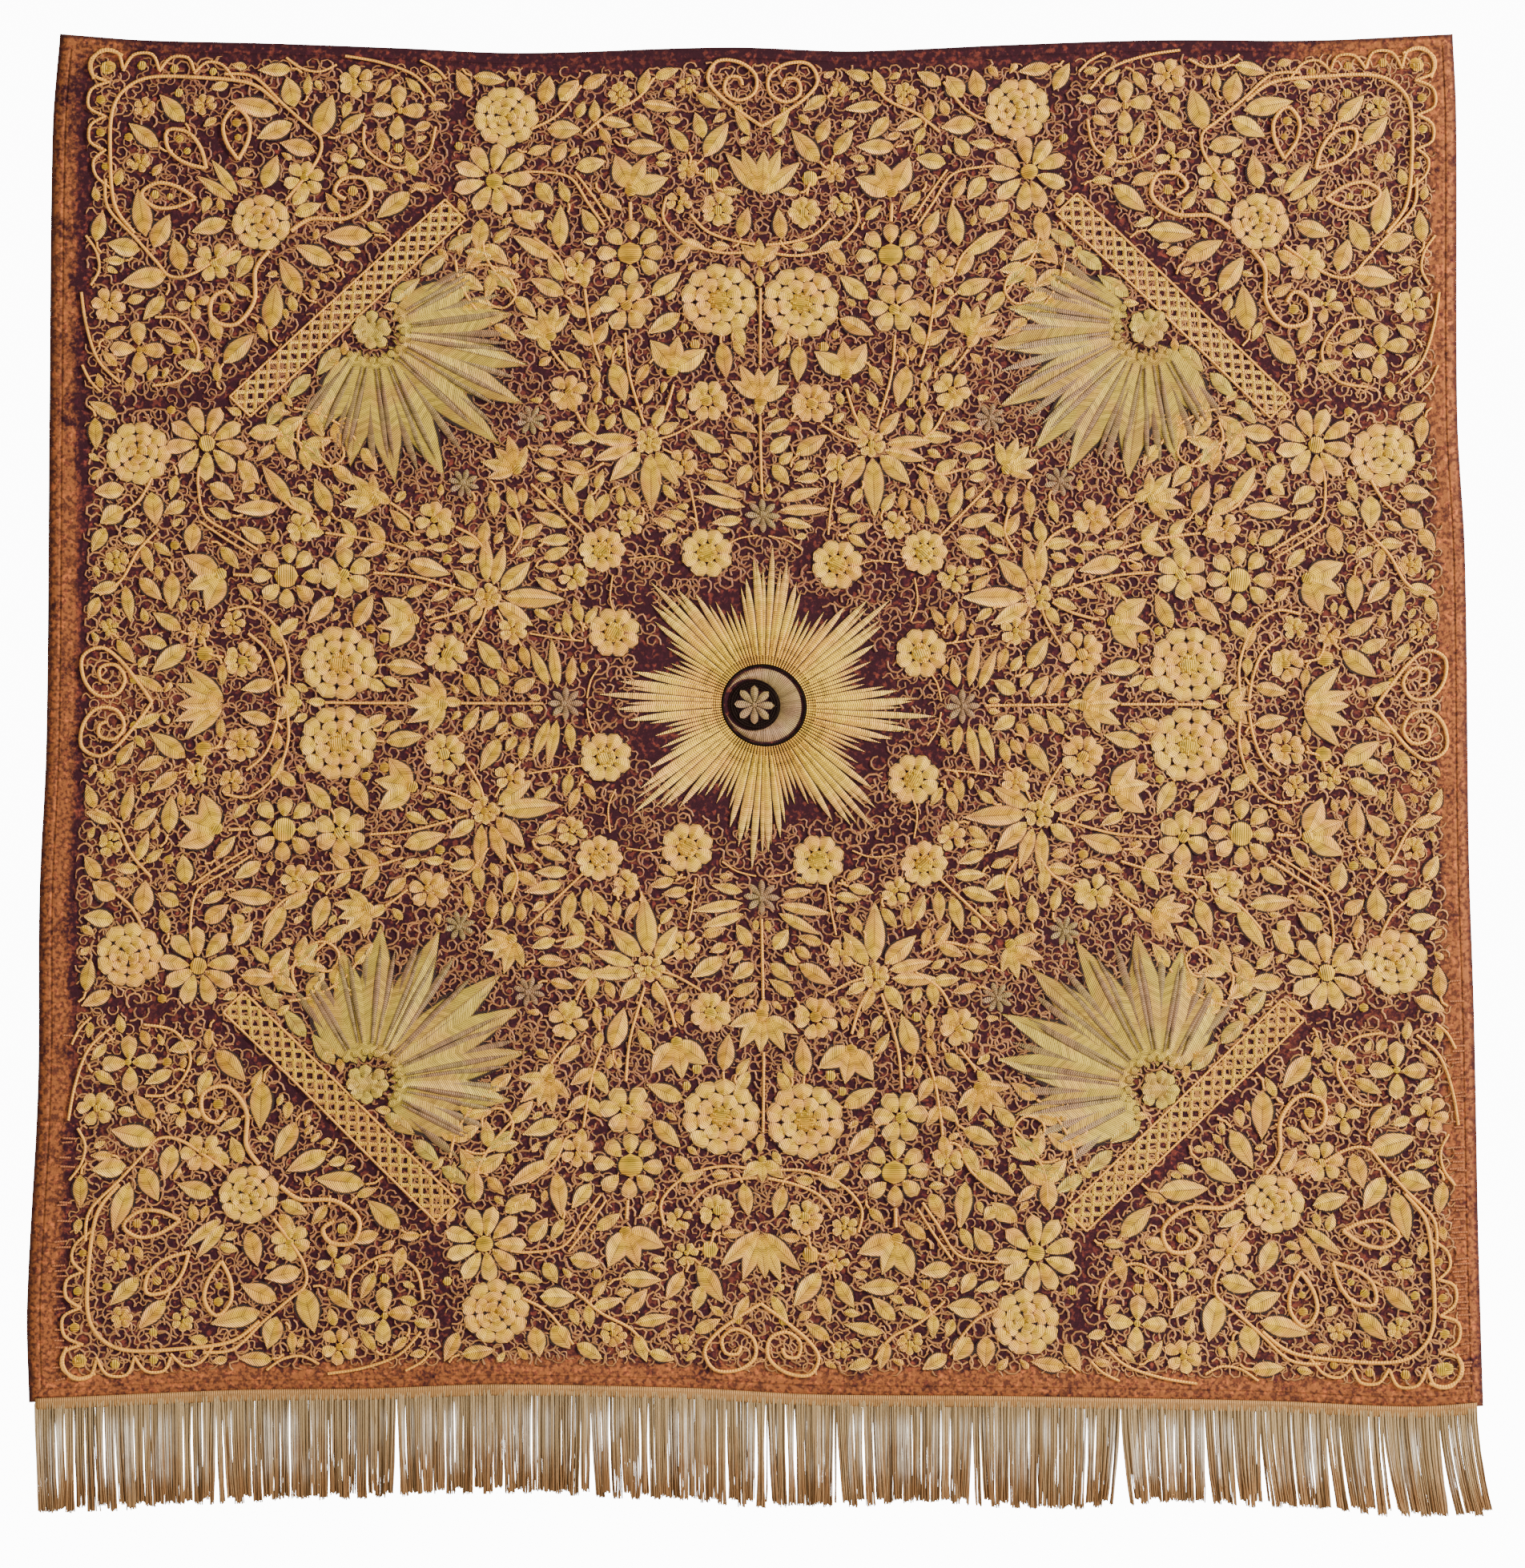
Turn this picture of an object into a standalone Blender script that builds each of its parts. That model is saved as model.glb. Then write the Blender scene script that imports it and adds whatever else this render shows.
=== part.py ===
"""An embroidered velvet wall hanging with a metal-thread fringe, hung by its top edge.

Metres, +Z up, +X to the viewer's right, and the front faces -Y. The origin is the middle of the top edge,
in the cloth's mid-plane. Every raised piece is drawn flat, in design coordinates measured from the middle
of the sunburst, then thickened and laid on the hanging cloth.
"""

import math
from collections import namedtuple

import bmesh
import bpy
from mathutils import Vector

# The cloth as it was cut.
CLOTH_WIDTH = 1.063
CLOTH_HEIGHT = 1.010
CLOTH_THICKNESS = 0.0022
COLUMNS = 33
ROWS = 31

# The gap that keeps one piece clear of the next.
CLEARANCE = 0.0003

# Where each edge of the hung cloth lies. "along" runs from 0 to 1, left to right or top to bottom.
EdgePoint = namedtuple("EdgePoint", "along place")
TOP_EDGE = [  # place is a height, 0 at the middle
    EdgePoint(0.00, 0.0105),
    EdgePoint(0.06, 0.0058),
    EdgePoint(0.15, 0.0034),
    EdgePoint(0.24, 0.0000),
    EdgePoint(0.33, -0.0038),
    EdgePoint(0.48, 0.0004),
    EdgePoint(0.57, -0.0025),
    EdgePoint(0.68, 0.0022),
    EdgePoint(0.79, 0.0058),
    EdgePoint(0.90, 0.0056),
    EdgePoint(1.00, 0.0103),
]
BOTTOM_EDGE = [
    EdgePoint(0.00, -1.0140),
    EdgePoint(0.14, -1.0086),
    EdgePoint(0.23, -1.0072),
    EdgePoint(0.32, -1.0034),
    EdgePoint(0.45, -1.0066),
    EdgePoint(0.54, -1.0118),
    EdgePoint(0.68, -1.0124),
    EdgePoint(0.85, -1.0165),
    EdgePoint(0.95, -1.0202),
    EdgePoint(1.00, -1.0166),
]
LEFT_EDGE = [  # place is a distance across, from the middle
    EdgePoint(0.00, -0.5225),
    EdgePoint(0.07, -0.5280),
    EdgePoint(0.28, -0.5304),
    EdgePoint(0.52, -0.5326),
    EdgePoint(0.63, -0.5376),
    EdgePoint(0.77, -0.5386),
    EdgePoint(0.93, -0.5466),
    EdgePoint(1.00, -0.5450),
]
RIGHT_EDGE = [
    EdgePoint(0.00, 0.5205),
    EdgePoint(0.06, 0.5232),
    EdgePoint(0.28, 0.5240),
    EdgePoint(0.38, 0.5296),
    EdgePoint(0.60, 0.5324),
    EdgePoint(0.72, 0.5362),
    EdgePoint(0.88, 0.5392),
    EdgePoint(1.00, 0.5426),
]

# Soft folds that fall from the held edge and deepen on the way down. "across" is where a fold reaches the
# lower edge, from 0 to 1, "drift" is how much further across it starts, and depth is forward if positive.
Fold = namedtuple("Fold", "across drift half_width depth")
FOLDS = [
    Fold(0.00, 0.02, 0.09, 0.0052),
    Fold(0.17, 0.05, 0.10, -0.0040),
    Fold(0.33, 0.02, 0.11, 0.0050),
    Fold(0.52, -0.02, 0.12, -0.0036),
    Fold(0.70, -0.03, 0.11, 0.0040),
    Fold(0.86, -0.04, 0.09, -0.0034),
    Fold(1.00, -0.02, 0.08, 0.0056),
]
HELD_SHARE = 0.07  # the top of the cloth that stays flat, as a share of its height
FOLD_ONSET = 1.5  # the higher, the later the folds deepen on the way down

# The design's middle on the cloth, and how the needlework has drawn it out of square.
DESIGN_ACROSS = 0.5048
DESIGN_DOWN = 0.4875
DESIGN_STRETCH_ACROSS = 1.020
DESIGN_STRETCH_DOWN = 0.982
DESIGN_CROWDING = 0.0365  # per metre: the upper half is drawn shorter than the lower

# Raised pieces: the thread-covered card, and how much higher it stands in its middle.
PAD = 0.0011
CROWN = 0.9  # as a share of the card's thickness
SMOOTH_BELOW = math.radians(40)  # edges sharper than this stay crisp

CENTRE_TWIST = math.radians(-3.3)  # of the sunburst and the ring round it, against the square of the cloth
SUNBURST_INNER = 0.0315
SUNBURST_POINT = 0.1180
SUNBURST_DIAGONAL = 0.1130
SUNBURST_VALLEY = 0.0770
SUNBURST_SHARPNESS = 2.4  # the higher, the slimmer its eight points
SUNBURST_RAYS = 40
SUNBURST_NOTCH = 0.84  # how far in the outline comes between two rays

CRESCENT_RADIUS = 0.0285
CRESCENT_HOLLOW = 0.0195
CRESCENT_SHIFT = 0.0095
CRESCENT_STEPS = 28
STAR_RADIUS = 0.0138
STAR_NOTCH = 0.46
STAR_POINTS = 8
STAR_SHIFT = 0.0070

# Flower heads: where they are in one eighth of the design, which the others mirror.
Head = namedtuple("Head", "name u v radius petals twist")
HEADS = [
    Head("ring_rosette", 0.0480, 0.1130, 0.0195, 8, CENTRE_TWIST),
    Head("ring_rosette", 0.1185, 0.1185, 0.0175, 8, 0),
    Head("pair_rosette", 0.0305, 0.3120, 0.0285, 10, 0),
    Head("edge_rose", 0.1900, 0.4600, 0.0245, 9, 0),
    Head("corner_rose", 0.3700, 0.3700, 0.0220, 7, 0),
]
HEAD_STEPS_PER_PETAL = 3
PETAL_DEPTH = 0.13

# The four panels on the diagonals: a lattice band with a fan of leaves that points to the middle.
PANEL_FROM_MIDDLE = 0.4440
BAND_LENGTH = 0.2240
BAND_WIDTH = 0.0230
BAND_STEPS = 12
FAN_LEAVES = 9
FAN_RADIUS = 0.1300
FAN_SIDE_SHARE = 0.62  # the outermost leaves' length against the middle one's
FAN_FOOT = 0.0140  # the gap between the band and the point that the leaves spread from
FAN_SWEEP = math.radians(166)
FAN_NOTCH = 0.74
FAN_HUB = 0.0040
FAN_RINGS = 3
FAN_CROWN = 0.6

# The fringe: a narrow woven heading, with locks of metal thread.
LOCKS = 148
HEADING_HEIGHT = 0.0050
HEADING_THICKNESS = 0.0016
LOCK_WIDTH_ROOT = 0.0055
LOCK_WIDTH_TIP = 0.0044
LOCK_THICKNESS_TIP = 0.0013
FRINGE_INSET = 0.0045  # the fringe stops this far short of each side of the cloth
SECTIONS = 2  # of a lock, below the heading
LOCK_BEND = 1.6  # the higher, the nearer its tip a lock bends
SWELL = 0.0012  # how far the tips stand in front of or behind one another
SWELL_STEP = 2.3  # radians of that wave from one lock to the next
LOCK_LENGTH = [
    EdgePoint(0.00, 0.0770),
    EdgePoint(0.12, 0.0750),
    EdgePoint(0.30, 0.0715),
    EdgePoint(0.42, 0.0745),
    EdgePoint(0.51, 0.0765),
    EdgePoint(0.62, 0.0710),
    EdgePoint(0.71, 0.0750),
    EdgePoint(0.77, 0.0690),
    EdgePoint(0.90, 0.0715),
    EdgePoint(1.00, 0.0750),
]
LOCK_LEAN = [  # how far a lock's tip hangs to the right of its root
    EdgePoint(0.00, 0.0030),
    EdgePoint(0.25, 0.0006),
    EdgePoint(0.55, 0.0015),
    EdgePoint(0.72, 0.0000),
    EdgePoint(0.85, 0.0050),
    EdgePoint(1.00, 0.0115),
]
Parting = namedtuple("Parting", "along width")
PARTINGS = [
    Parting(0.040, 0.0030),
    Parting(0.125, 0.0045),
    Parting(0.250, 0.0040),
    Parting(0.318, 0.0022),
    Parting(0.385, 0.0050),
    Parting(0.508, 0.0038),
    Parting(0.556, 0.0050),
    Parting(0.650, 0.0052),
    Parting(0.753, 0.0130),
    Parting(0.812, 0.0056),
    Parting(0.850, 0.0050),
    Parting(0.896, 0.0048),
    Parting(0.935, 0.0056),
    Parting(0.974, 0.0060),
]
PARTING_REACH = 0.022

VELVET = ("velvet", (0.055, 0.012, 0.022, 1), 0.85, 0.0)
GOLD = ("gold_thread", (0.60, 0.43, 0.17, 1), 0.38, 0.75)
SILVER = ("silver_thread", (0.52, 0.50, 0.43, 1), 0.36, 0.80)
FRINGE_METAL = ("fringe_thread", (0.33, 0.26, 0.18, 1), 0.45, 0.55)


def smooth_curve(points, along):
    """The place at "along" on a smooth curve through the points."""
    last = len(points) - 1
    k = 0
    while k < last - 1 and along > points[k + 1].along:
        k += 1
    before = points[max(k - 1, 0)]
    start = points[k]
    end = points[k + 1]
    after = points[min(k + 2, last)]
    span = end.along - start.along
    share = (along - start.along) / span
    slope_start = (end.place - before.place) / (end.along - before.along) * span
    slope_end = (after.place - start.place) / (after.along - start.along) * span
    return (
        start.place * (1 + 2 * share) * (1 - share) ** 2
        + slope_start * share * (1 - share) ** 2
        + end.place * share**2 * (3 - 2 * share)
        + slope_end * share**2 * (share - 1)
    )


def fold_depth(across, down):
    """How far forward the cloth's mid-plane stands, at shares of its width and height."""
    fall = max(0.0, (down - HELD_SHARE) / (1 - HELD_SHARE))
    depth = 0.0
    for fold in FOLDS:
        middle = fold.across + fold.drift * (1 - down)
        depth += fold.depth * math.exp(-(((across - middle) / fold.half_width) ** 2))
    return depth * fall**FOLD_ONSET


def hung(across, down, forward):
    """The point at shares of the cloth's width and height, that far forward of its mid-plane."""
    left = smooth_curve(LEFT_EDGE, min(down, 1.0))
    right = smooth_curve(RIGHT_EDGE, min(down, 1.0))
    top = smooth_curve(TOP_EDGE, across)
    bottom = smooth_curve(BOTTOM_EDGE, across)
    return Vector(
        (
            left + (right - left) * across,
            -fold_depth(across, down) - forward,
            top + (bottom - top) * down,
        )
    )


def on_design(u, v, forward):
    """The point that lies u right of and v above the sunburst's middle on the flat design."""
    across = DESIGN_ACROSS + u * DESIGN_STRETCH_ACROSS / CLOTH_WIDTH
    rise = v * DESIGN_STRETCH_DOWN - DESIGN_CROWDING * v * v
    return hung(across, DESIGN_DOWN - rise / CLOTH_HEIGHT, forward)


def material(name, colour, roughness, metallic):
    made = bpy.data.materials.get(name)
    if made is None:
        made = bpy.data.materials.new(name)
        made.use_nodes = True
        shader = made.node_tree.nodes["Principled BSDF"]
        shader.inputs["Base Color"].default_value = colour
        shader.inputs["Roughness"].default_value = roughness
        shader.inputs["Metallic"].default_value = metallic
        made.diffuse_color = colour
    return made


def add_object(name, shape, finish, collection):
    """Turns a bmesh into an object of the hanging."""
    bmesh.ops.recalc_face_normals(shape, faces=shape.faces)
    if shape.calc_volume(signed=True) < 0:
        bmesh.ops.reverse_faces(shape, faces=shape.faces)
    mesh = bpy.data.meshes.new(name)
    shape.to_mesh(mesh)
    shape.free()
    mesh.shade_smooth()
    mesh.set_sharp_from_angle(angle=SMOOTH_BELOW)
    mesh.materials.append(material(*finish))
    made = bpy.data.objects.new(name, mesh)
    collection.objects.link(made)
    return made


def unit_grid(columns, rows):
    """A flat grid of faces whose corners run from 0 to 1 in X and in Y."""
    shape = bmesh.new()
    bmesh.ops.create_grid(shape, x_segments=columns, y_segments=rows, size=0.5)
    bmesh.ops.translate(shape, verts=shape.verts, vec=(0.5, 0.5, 0))
    return shape


def thicken(shape, thickness):
    """Gives a flat shape its thickness, from 0 up to it in Z."""
    bmesh.ops.recalc_face_normals(shape, faces=shape.faces)
    bmesh.ops.solidify(shape, geom=shape.faces[:], thickness=thickness)
    lowest = min(vert.co.z for vert in shape.verts)
    bmesh.ops.translate(shape, verts=shape.verts, vec=(0, 0, -lowest))


def polar_sheet(rings, steps, inner, outer, start=0.0, sweep=math.tau):
    """A flat sheet between two radii that depend on the angle."""
    shape = unit_grid(rings, steps)
    for vert in shape.verts:
        angle = start + sweep * vert.co.y
        near = inner(angle)
        radius = near + (outer(angle) - near) * vert.co.x
        vert.co = (radius * math.cos(angle), radius * math.sin(angle), 0)
    bmesh.ops.remove_doubles(shape, verts=shape.verts, dist=1e-6)
    return shape


def raise_and_lay(name, shape, place, turn, reach, finish, collection, crown=CROWN):
    """Thickens a flat shape, raises its middle, and lays it on the cloth at a place of the design."""
    thicken(shape, PAD)
    cosine = math.cos(turn)
    sine = math.sin(turn)
    for vert in shape.verts:
        x, y, height = vert.co
        rise = 1 + crown * max(0.0, 1 - (math.hypot(x, y) / reach) ** 2)
        vert.co = on_design(
            place[0] + x * cosine - y * sine,
            place[1] + x * sine + y * cosine,
            CLOTH_THICKNESS / 2 + CLEARANCE + height * rise,
        )
    return add_object(name, shape, finish, collection)


def build_cloth(collection):
    shape = unit_grid(COLUMNS, ROWS)
    thicken(shape, CLOTH_THICKNESS)
    for vert in shape.verts:
        vert.co = hung(vert.co.x, 1 - vert.co.y, vert.co.z - CLOTH_THICKNESS / 2)
    add_object("velvet_ground", shape, VELVET, collection)


def sunburst_reach(angle):
    """The sunburst's outline: eight points, cut into rays."""
    tip = SUNBURST_DIAGONAL + (SUNBURST_POINT - SUNBURST_DIAGONAL) * math.cos(2 * angle) ** 2
    point = abs(math.cos(4 * angle)) ** SUNBURST_SHARPNESS
    reach = SUNBURST_VALLEY + (tip - SUNBURST_VALLEY) * point
    ray = angle * SUNBURST_RAYS / math.tau
    return reach * (1 if round(2 * ray) % 2 == 0 else SUNBURST_NOTCH)


def star_reach(angle):
    between = round(angle * STAR_POINTS / math.pi) % 2
    return STAR_RADIUS * (STAR_NOTCH if between else 1)


def build_centre(collection):
    """The sunburst, and the silver crescent and star in its middle."""
    burst = polar_sheet(2, 2 * SUNBURST_RAYS, lambda angle: SUNBURST_INNER, sunburst_reach)
    raise_and_lay("sunburst", burst, (0, 0), CENTRE_TWIST, SUNBURST_POINT, GOLD, collection)

    horn = math.acos(
        (CRESCENT_HOLLOW**2 - CRESCENT_RADIUS**2 - CRESCENT_SHIFT**2) / (2 * CRESCENT_RADIUS * CRESCENT_SHIFT)
    )

    def hollow_edge(angle):
        along = -CRESCENT_SHIFT * math.cos(angle)
        across = CRESCENT_SHIFT * math.sin(angle)
        return min(CRESCENT_RADIUS, along + math.sqrt(CRESCENT_HOLLOW**2 - across**2))

    crescent = polar_sheet(1, CRESCENT_STEPS, hollow_edge, lambda angle: CRESCENT_RADIUS, -horn, 2 * horn)
    raise_and_lay("crescent", crescent, (0, 0), 0, CRESCENT_RADIUS, SILVER, collection, crown=0)

    star = polar_sheet(1, 2 * STAR_POINTS, lambda angle: 0, star_reach)
    raise_and_lay("centre_star", star, (-STAR_SHIFT, 0), 0, STAR_RADIUS, SILVER, collection)


def build_head(name, head, place, turn, collection):
    """A flower head: a padded disc with a lobed rim."""

    def rim(angle):
        return head.radius * (1 - PETAL_DEPTH * (1 - abs(math.sin(head.petals * angle / 2))))

    disc = polar_sheet(1, head.petals * HEAD_STEPS_PER_PETAL, lambda angle: 0, rim)
    raise_and_lay(name, disc, place, turn, head.radius, GOLD, collection)


def mirrored(u, v):
    """The places that mirror one eighth of the design: eight, or four on a diagonal."""
    found = []
    for a, b in ((u, v), (v, u)):
        for place in ((a, b), (-a, b), (a, -b), (-a, -b)):
            if place not in found:
                found.append(place)
    return found


def build_heads(collection):
    counts = {}
    for head in HEADS:
        for place in mirrored(head.u, head.v):
            counts[head.name] = counts.get(head.name, 0) + 1
            name = f"{head.name}_{counts[head.name]:02d}"
            turn = math.atan2(place[1], place[0]) + head.twist
            distance = math.hypot(*place)
            place = (distance * math.cos(turn), distance * math.sin(turn))
            build_head(name, head, place, turn, collection)


def fan_reach(angle):
    """The fan's outline: leaves that shorten to the sides, notched where two meet."""
    share = angle / (FAN_SWEEP / 2)
    length = FAN_RADIUS * (1 - (1 - FAN_SIDE_SHARE) * share * share)
    leaf = (angle + FAN_SWEEP / 2) / FAN_SWEEP * FAN_LEAVES
    tip = 1 - abs(2 * (leaf % 1) - 1) if 0 < leaf < FAN_LEAVES else 0
    return length * (FAN_NOTCH + (1 - FAN_NOTCH) * tip)


def build_panels(collection):
    for number in range(4):
        outward = math.radians(45 + 90 * number)
        facing_in = outward + math.pi
        along = outward + math.pi / 2
        band_middle = PANEL_FROM_MIDDLE - BAND_WIDTH / 2
        place = (band_middle * math.cos(outward), band_middle * math.sin(outward))
        band = unit_grid(BAND_STEPS, 1)
        for vert in band.verts:
            vert.co = ((vert.co.x - 0.5) * BAND_LENGTH, (vert.co.y - 0.5) * BAND_WIDTH, 0)
        name = f"panel_band_{number + 1}"
        raise_and_lay(name, band, place, along, BAND_LENGTH, GOLD, collection, crown=0)

        foot = PANEL_FROM_MIDDLE - BAND_WIDTH - FAN_FOOT
        place = (foot * math.cos(outward), foot * math.sin(outward))
        steps = 2 * FAN_LEAVES
        fan = polar_sheet(FAN_RINGS, steps, lambda angle: FAN_HUB, fan_reach, -FAN_SWEEP / 2, FAN_SWEEP)
        name = f"panel_fan_{number + 1}"
        raise_and_lay(name, fan, place, facing_in, FAN_RADIUS, GOLD, collection, crown=FAN_CROWN)


def parted(along):
    """How far the partings push a lock's tip to the right."""
    push = 0.0
    for parting in PARTINGS:
        away = (along - parting.along) * CLOTH_WIDTH
        fade = math.exp(-abs(away) / PARTING_REACH)
        push += math.copysign(parting.width / 2, away) * fade
    return push


def lock_point(column, level, side):
    """A corner of the fringe. Even columns are a lock's left side and odd ones its right; level 0 is the
    heading's top, 1 its foot, and the rest the lock's sections; side is 0 at the back and 1 in front."""
    lock, right = divmod(column, 2)
    along = (lock + 0.5) / LOCKS
    inset = FRINGE_INSET / CLOTH_WIDTH
    across = inset + (1 - 2 * inset) * along
    root = hung(across, 1.0, 0)
    share = max(0, level - 1) / SECTIONS
    if level == 0:
        drop = CLEARANCE
    else:
        drop = CLEARANCE + HEADING_HEIGHT + share * smooth_curve(LOCK_LENGTH, along)
    width = LOCK_WIDTH_ROOT + (LOCK_WIDTH_TIP - LOCK_WIDTH_ROOT) * share
    thickness = HEADING_THICKNESS + (LOCK_THICKNESS_TIP - HEADING_THICKNESS) * share
    sway = smooth_curve(LOCK_LEAN, along) + parted(along)
    swell = SWELL * math.sin(SWELL_STEP * lock) * share
    return Vector(
        (
            root.x + (right - 0.5) * width + sway * share**LOCK_BEND,
            root.y - (side - 0.5) * thickness - swell,
            root.z - drop,
        )
    )


def build_fringe(collection):
    """A comb: one strip, with every other face of its foot drawn down into a lock."""
    segments = 2 * LOCKS - 1
    shape = unit_grid(segments, 1)
    for vert in shape.verts:
        vert.co = (round(vert.co.x * segments), round(vert.co.y) - 1, 0)
    thicken(shape, 1.0)
    shape.faces.ensure_lookup_table()
    feet = [
        face
        for face in shape.faces
        if all(vert.co.y < -0.5 for vert in face.verts)
        and int(min(vert.co.x for vert in face.verts) + 0.5) % 2 == 0
    ]
    for _ in range(SECTIONS):
        drawn = bmesh.ops.extrude_discrete_faces(shape, faces=feet)
        feet = drawn["faces"]
        bmesh.ops.translate(shape, verts=[v for face in feet for v in face.verts], vec=(0, -1, 0))
    for vert in shape.verts:
        column = round(vert.co.x)
        level = round(-vert.co.y)
        vert.co = lock_point(column, level, round(vert.co.z))
    add_object("fringe", shape, FRINGE_METAL, collection)


def main():
    for item in list(bpy.data.objects):
        bpy.data.objects.remove(item)
    collection = bpy.data.collections.new("wall_hanging")
    bpy.context.scene.collection.children.link(collection)
    build_cloth(collection)
    build_centre(collection)
    build_heads(collection)
    build_panels(collection)
    build_fringe(collection)


main()
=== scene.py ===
"""Dresses an embroidered velvet wall hanging: the velvet, its metal-thread needlework and its fringe.

The needlework is designed flat, in metres: u to the right of and v above the middle of the sunburst, and a
height in front of the velvet. One eighth of the design is drawn, and the other seven mirror it. Every piece
is made flat and then laid on the cloth, in the folds in which it hangs. Metres, +Z up, the front faces -Y.
"""

import math
import random
from collections import namedtuple
from functools import lru_cache

import bmesh
import bpy
import numpy as np
from bpy.props import FloatProperty, FloatVectorProperty, IntProperty, PointerProperty
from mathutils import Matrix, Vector
from mathutils.kdtree import KDTree


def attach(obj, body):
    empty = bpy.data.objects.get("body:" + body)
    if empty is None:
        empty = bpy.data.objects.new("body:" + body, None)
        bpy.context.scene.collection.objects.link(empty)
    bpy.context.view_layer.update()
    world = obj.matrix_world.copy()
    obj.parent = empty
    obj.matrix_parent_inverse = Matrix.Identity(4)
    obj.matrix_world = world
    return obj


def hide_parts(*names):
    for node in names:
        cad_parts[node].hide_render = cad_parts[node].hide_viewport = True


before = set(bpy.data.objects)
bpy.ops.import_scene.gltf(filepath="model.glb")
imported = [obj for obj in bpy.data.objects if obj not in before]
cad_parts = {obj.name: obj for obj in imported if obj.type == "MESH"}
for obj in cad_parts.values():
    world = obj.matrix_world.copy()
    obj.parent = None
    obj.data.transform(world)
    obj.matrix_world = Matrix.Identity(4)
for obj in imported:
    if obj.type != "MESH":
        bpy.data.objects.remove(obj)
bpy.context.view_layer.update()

bl_info = {
    "name": "Embroidered Wall Hanging",
    "version": (1, 0, 0),
    "blender": (4, 5, 0),
    "location": "3D View > Sidebar > Hanging",
    "description": "Dresses a velvet wall hanging with metal-thread needlework and a fringe",
    "category": "Object",
}

# The cloth as it was cut, and where each edge of it hangs. "along" runs from 0 to 1, left to right or top
# to bottom. These are the sizes of the packed cloth.
CLOTH_WIDTH = 1.063
CLOTH_HEIGHT = 1.010
CLOTH_THICKNESS = 0.0022
EdgePoint = namedtuple("EdgePoint", "along place")
TOP_EDGE = [
    EdgePoint(0.00, 0.0105),
    EdgePoint(0.06, 0.0058),
    EdgePoint(0.15, 0.0034),
    EdgePoint(0.24, 0.0000),
    EdgePoint(0.33, -0.0038),
    EdgePoint(0.48, 0.0004),
    EdgePoint(0.57, -0.0025),
    EdgePoint(0.68, 0.0022),
    EdgePoint(0.79, 0.0058),
    EdgePoint(0.90, 0.0056),
    EdgePoint(1.00, 0.0103),
]
BOTTOM_EDGE = [
    EdgePoint(0.00, -1.0140),
    EdgePoint(0.14, -1.0086),
    EdgePoint(0.23, -1.0072),
    EdgePoint(0.32, -1.0034),
    EdgePoint(0.45, -1.0066),
    EdgePoint(0.54, -1.0118),
    EdgePoint(0.68, -1.0124),
    EdgePoint(0.85, -1.0165),
    EdgePoint(0.95, -1.0202),
    EdgePoint(1.00, -1.0166),
]
LEFT_EDGE = [
    EdgePoint(0.00, -0.5225),
    EdgePoint(0.07, -0.5280),
    EdgePoint(0.28, -0.5304),
    EdgePoint(0.52, -0.5326),
    EdgePoint(0.63, -0.5376),
    EdgePoint(0.77, -0.5386),
    EdgePoint(0.93, -0.5466),
    EdgePoint(1.00, -0.5450),
]
RIGHT_EDGE = [
    EdgePoint(0.00, 0.5205),
    EdgePoint(0.06, 0.5232),
    EdgePoint(0.28, 0.5240),
    EdgePoint(0.38, 0.5296),
    EdgePoint(0.60, 0.5324),
    EdgePoint(0.72, 0.5362),
    EdgePoint(0.88, 0.5392),
    EdgePoint(1.00, 0.5426),
]
Fold = namedtuple("Fold", "across drift half_width depth")
FOLDS = [
    Fold(0.00, 0.02, 0.09, 0.0052),
    Fold(0.17, 0.05, 0.10, -0.0040),
    Fold(0.33, 0.02, 0.11, 0.0050),
    Fold(0.52, -0.02, 0.12, -0.0036),
    Fold(0.70, -0.03, 0.11, 0.0040),
    Fold(0.86, -0.04, 0.09, -0.0034),
    Fold(1.00, -0.02, 0.08, 0.0056),
]
HELD_SHARE = 0.07
FOLD_ONSET = 1.5

# How the design lies on the cloth.
DESIGN_ACROSS = 0.5048
DESIGN_DOWN = 0.4875
DESIGN_STRETCH_ACROSS = 1.020
DESIGN_STRETCH_DOWN = 0.982
DESIGN_CROWDING = 0.0365
DESIGN_HALF = 0.5120  # from the middle to the edge of the cloth
HEM = 0.0090  # the turned margin inside each edge
BORDER = 0.0165  # from the edge to the outermost leaves
BAR_PITCH = 0.0047
BAR_SHARES = [(-1, 0.35), (1, 0.85)]  # how many of the bars are left on the left and the right side
BAR_TOP = -0.1800  # no bars are left above this height

# The raised pieces that stand for packed ones keep those sizes.
CENTRE_TWIST = math.radians(-3.3)
SUNBURST_INNER = 0.0315
SUNBURST_POINT = 0.1180
SUNBURST_DIAGONAL = 0.1130
SUNBURST_VALLEY = 0.0770
SUNBURST_SHARPNESS = 2.4
CRESCENT_RADIUS = 0.0285
CRESCENT_HOLLOW = 0.0195
CRESCENT_SHIFT = 0.0095
STAR_RADIUS = 0.0138
STAR_SHIFT = 0.0070
PANEL_FROM_MIDDLE = 0.4440
BAND_LENGTH = 0.2240
BAND_WIDTH = 0.0230
FAN_LEAVES = 9
FAN_RADIUS = 0.1300
FAN_SIDE_SHARE = 0.62
FAN_FOOT = 0.0140
FAN_SWEEP = math.radians(166)
LOCKS = 148
HEADING_HEIGHT = 0.0050
FRINGE_INSET = 0.0045
LOCK_BEND = 1.6
LOCK_LENGTH = [
    EdgePoint(0.00, 0.0770),
    EdgePoint(0.12, 0.0750),
    EdgePoint(0.30, 0.0715),
    EdgePoint(0.42, 0.0745),
    EdgePoint(0.51, 0.0765),
    EdgePoint(0.62, 0.0710),
    EdgePoint(0.71, 0.0750),
    EdgePoint(0.77, 0.0690),
    EdgePoint(0.90, 0.0715),
    EdgePoint(1.00, 0.0750),
]
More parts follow.
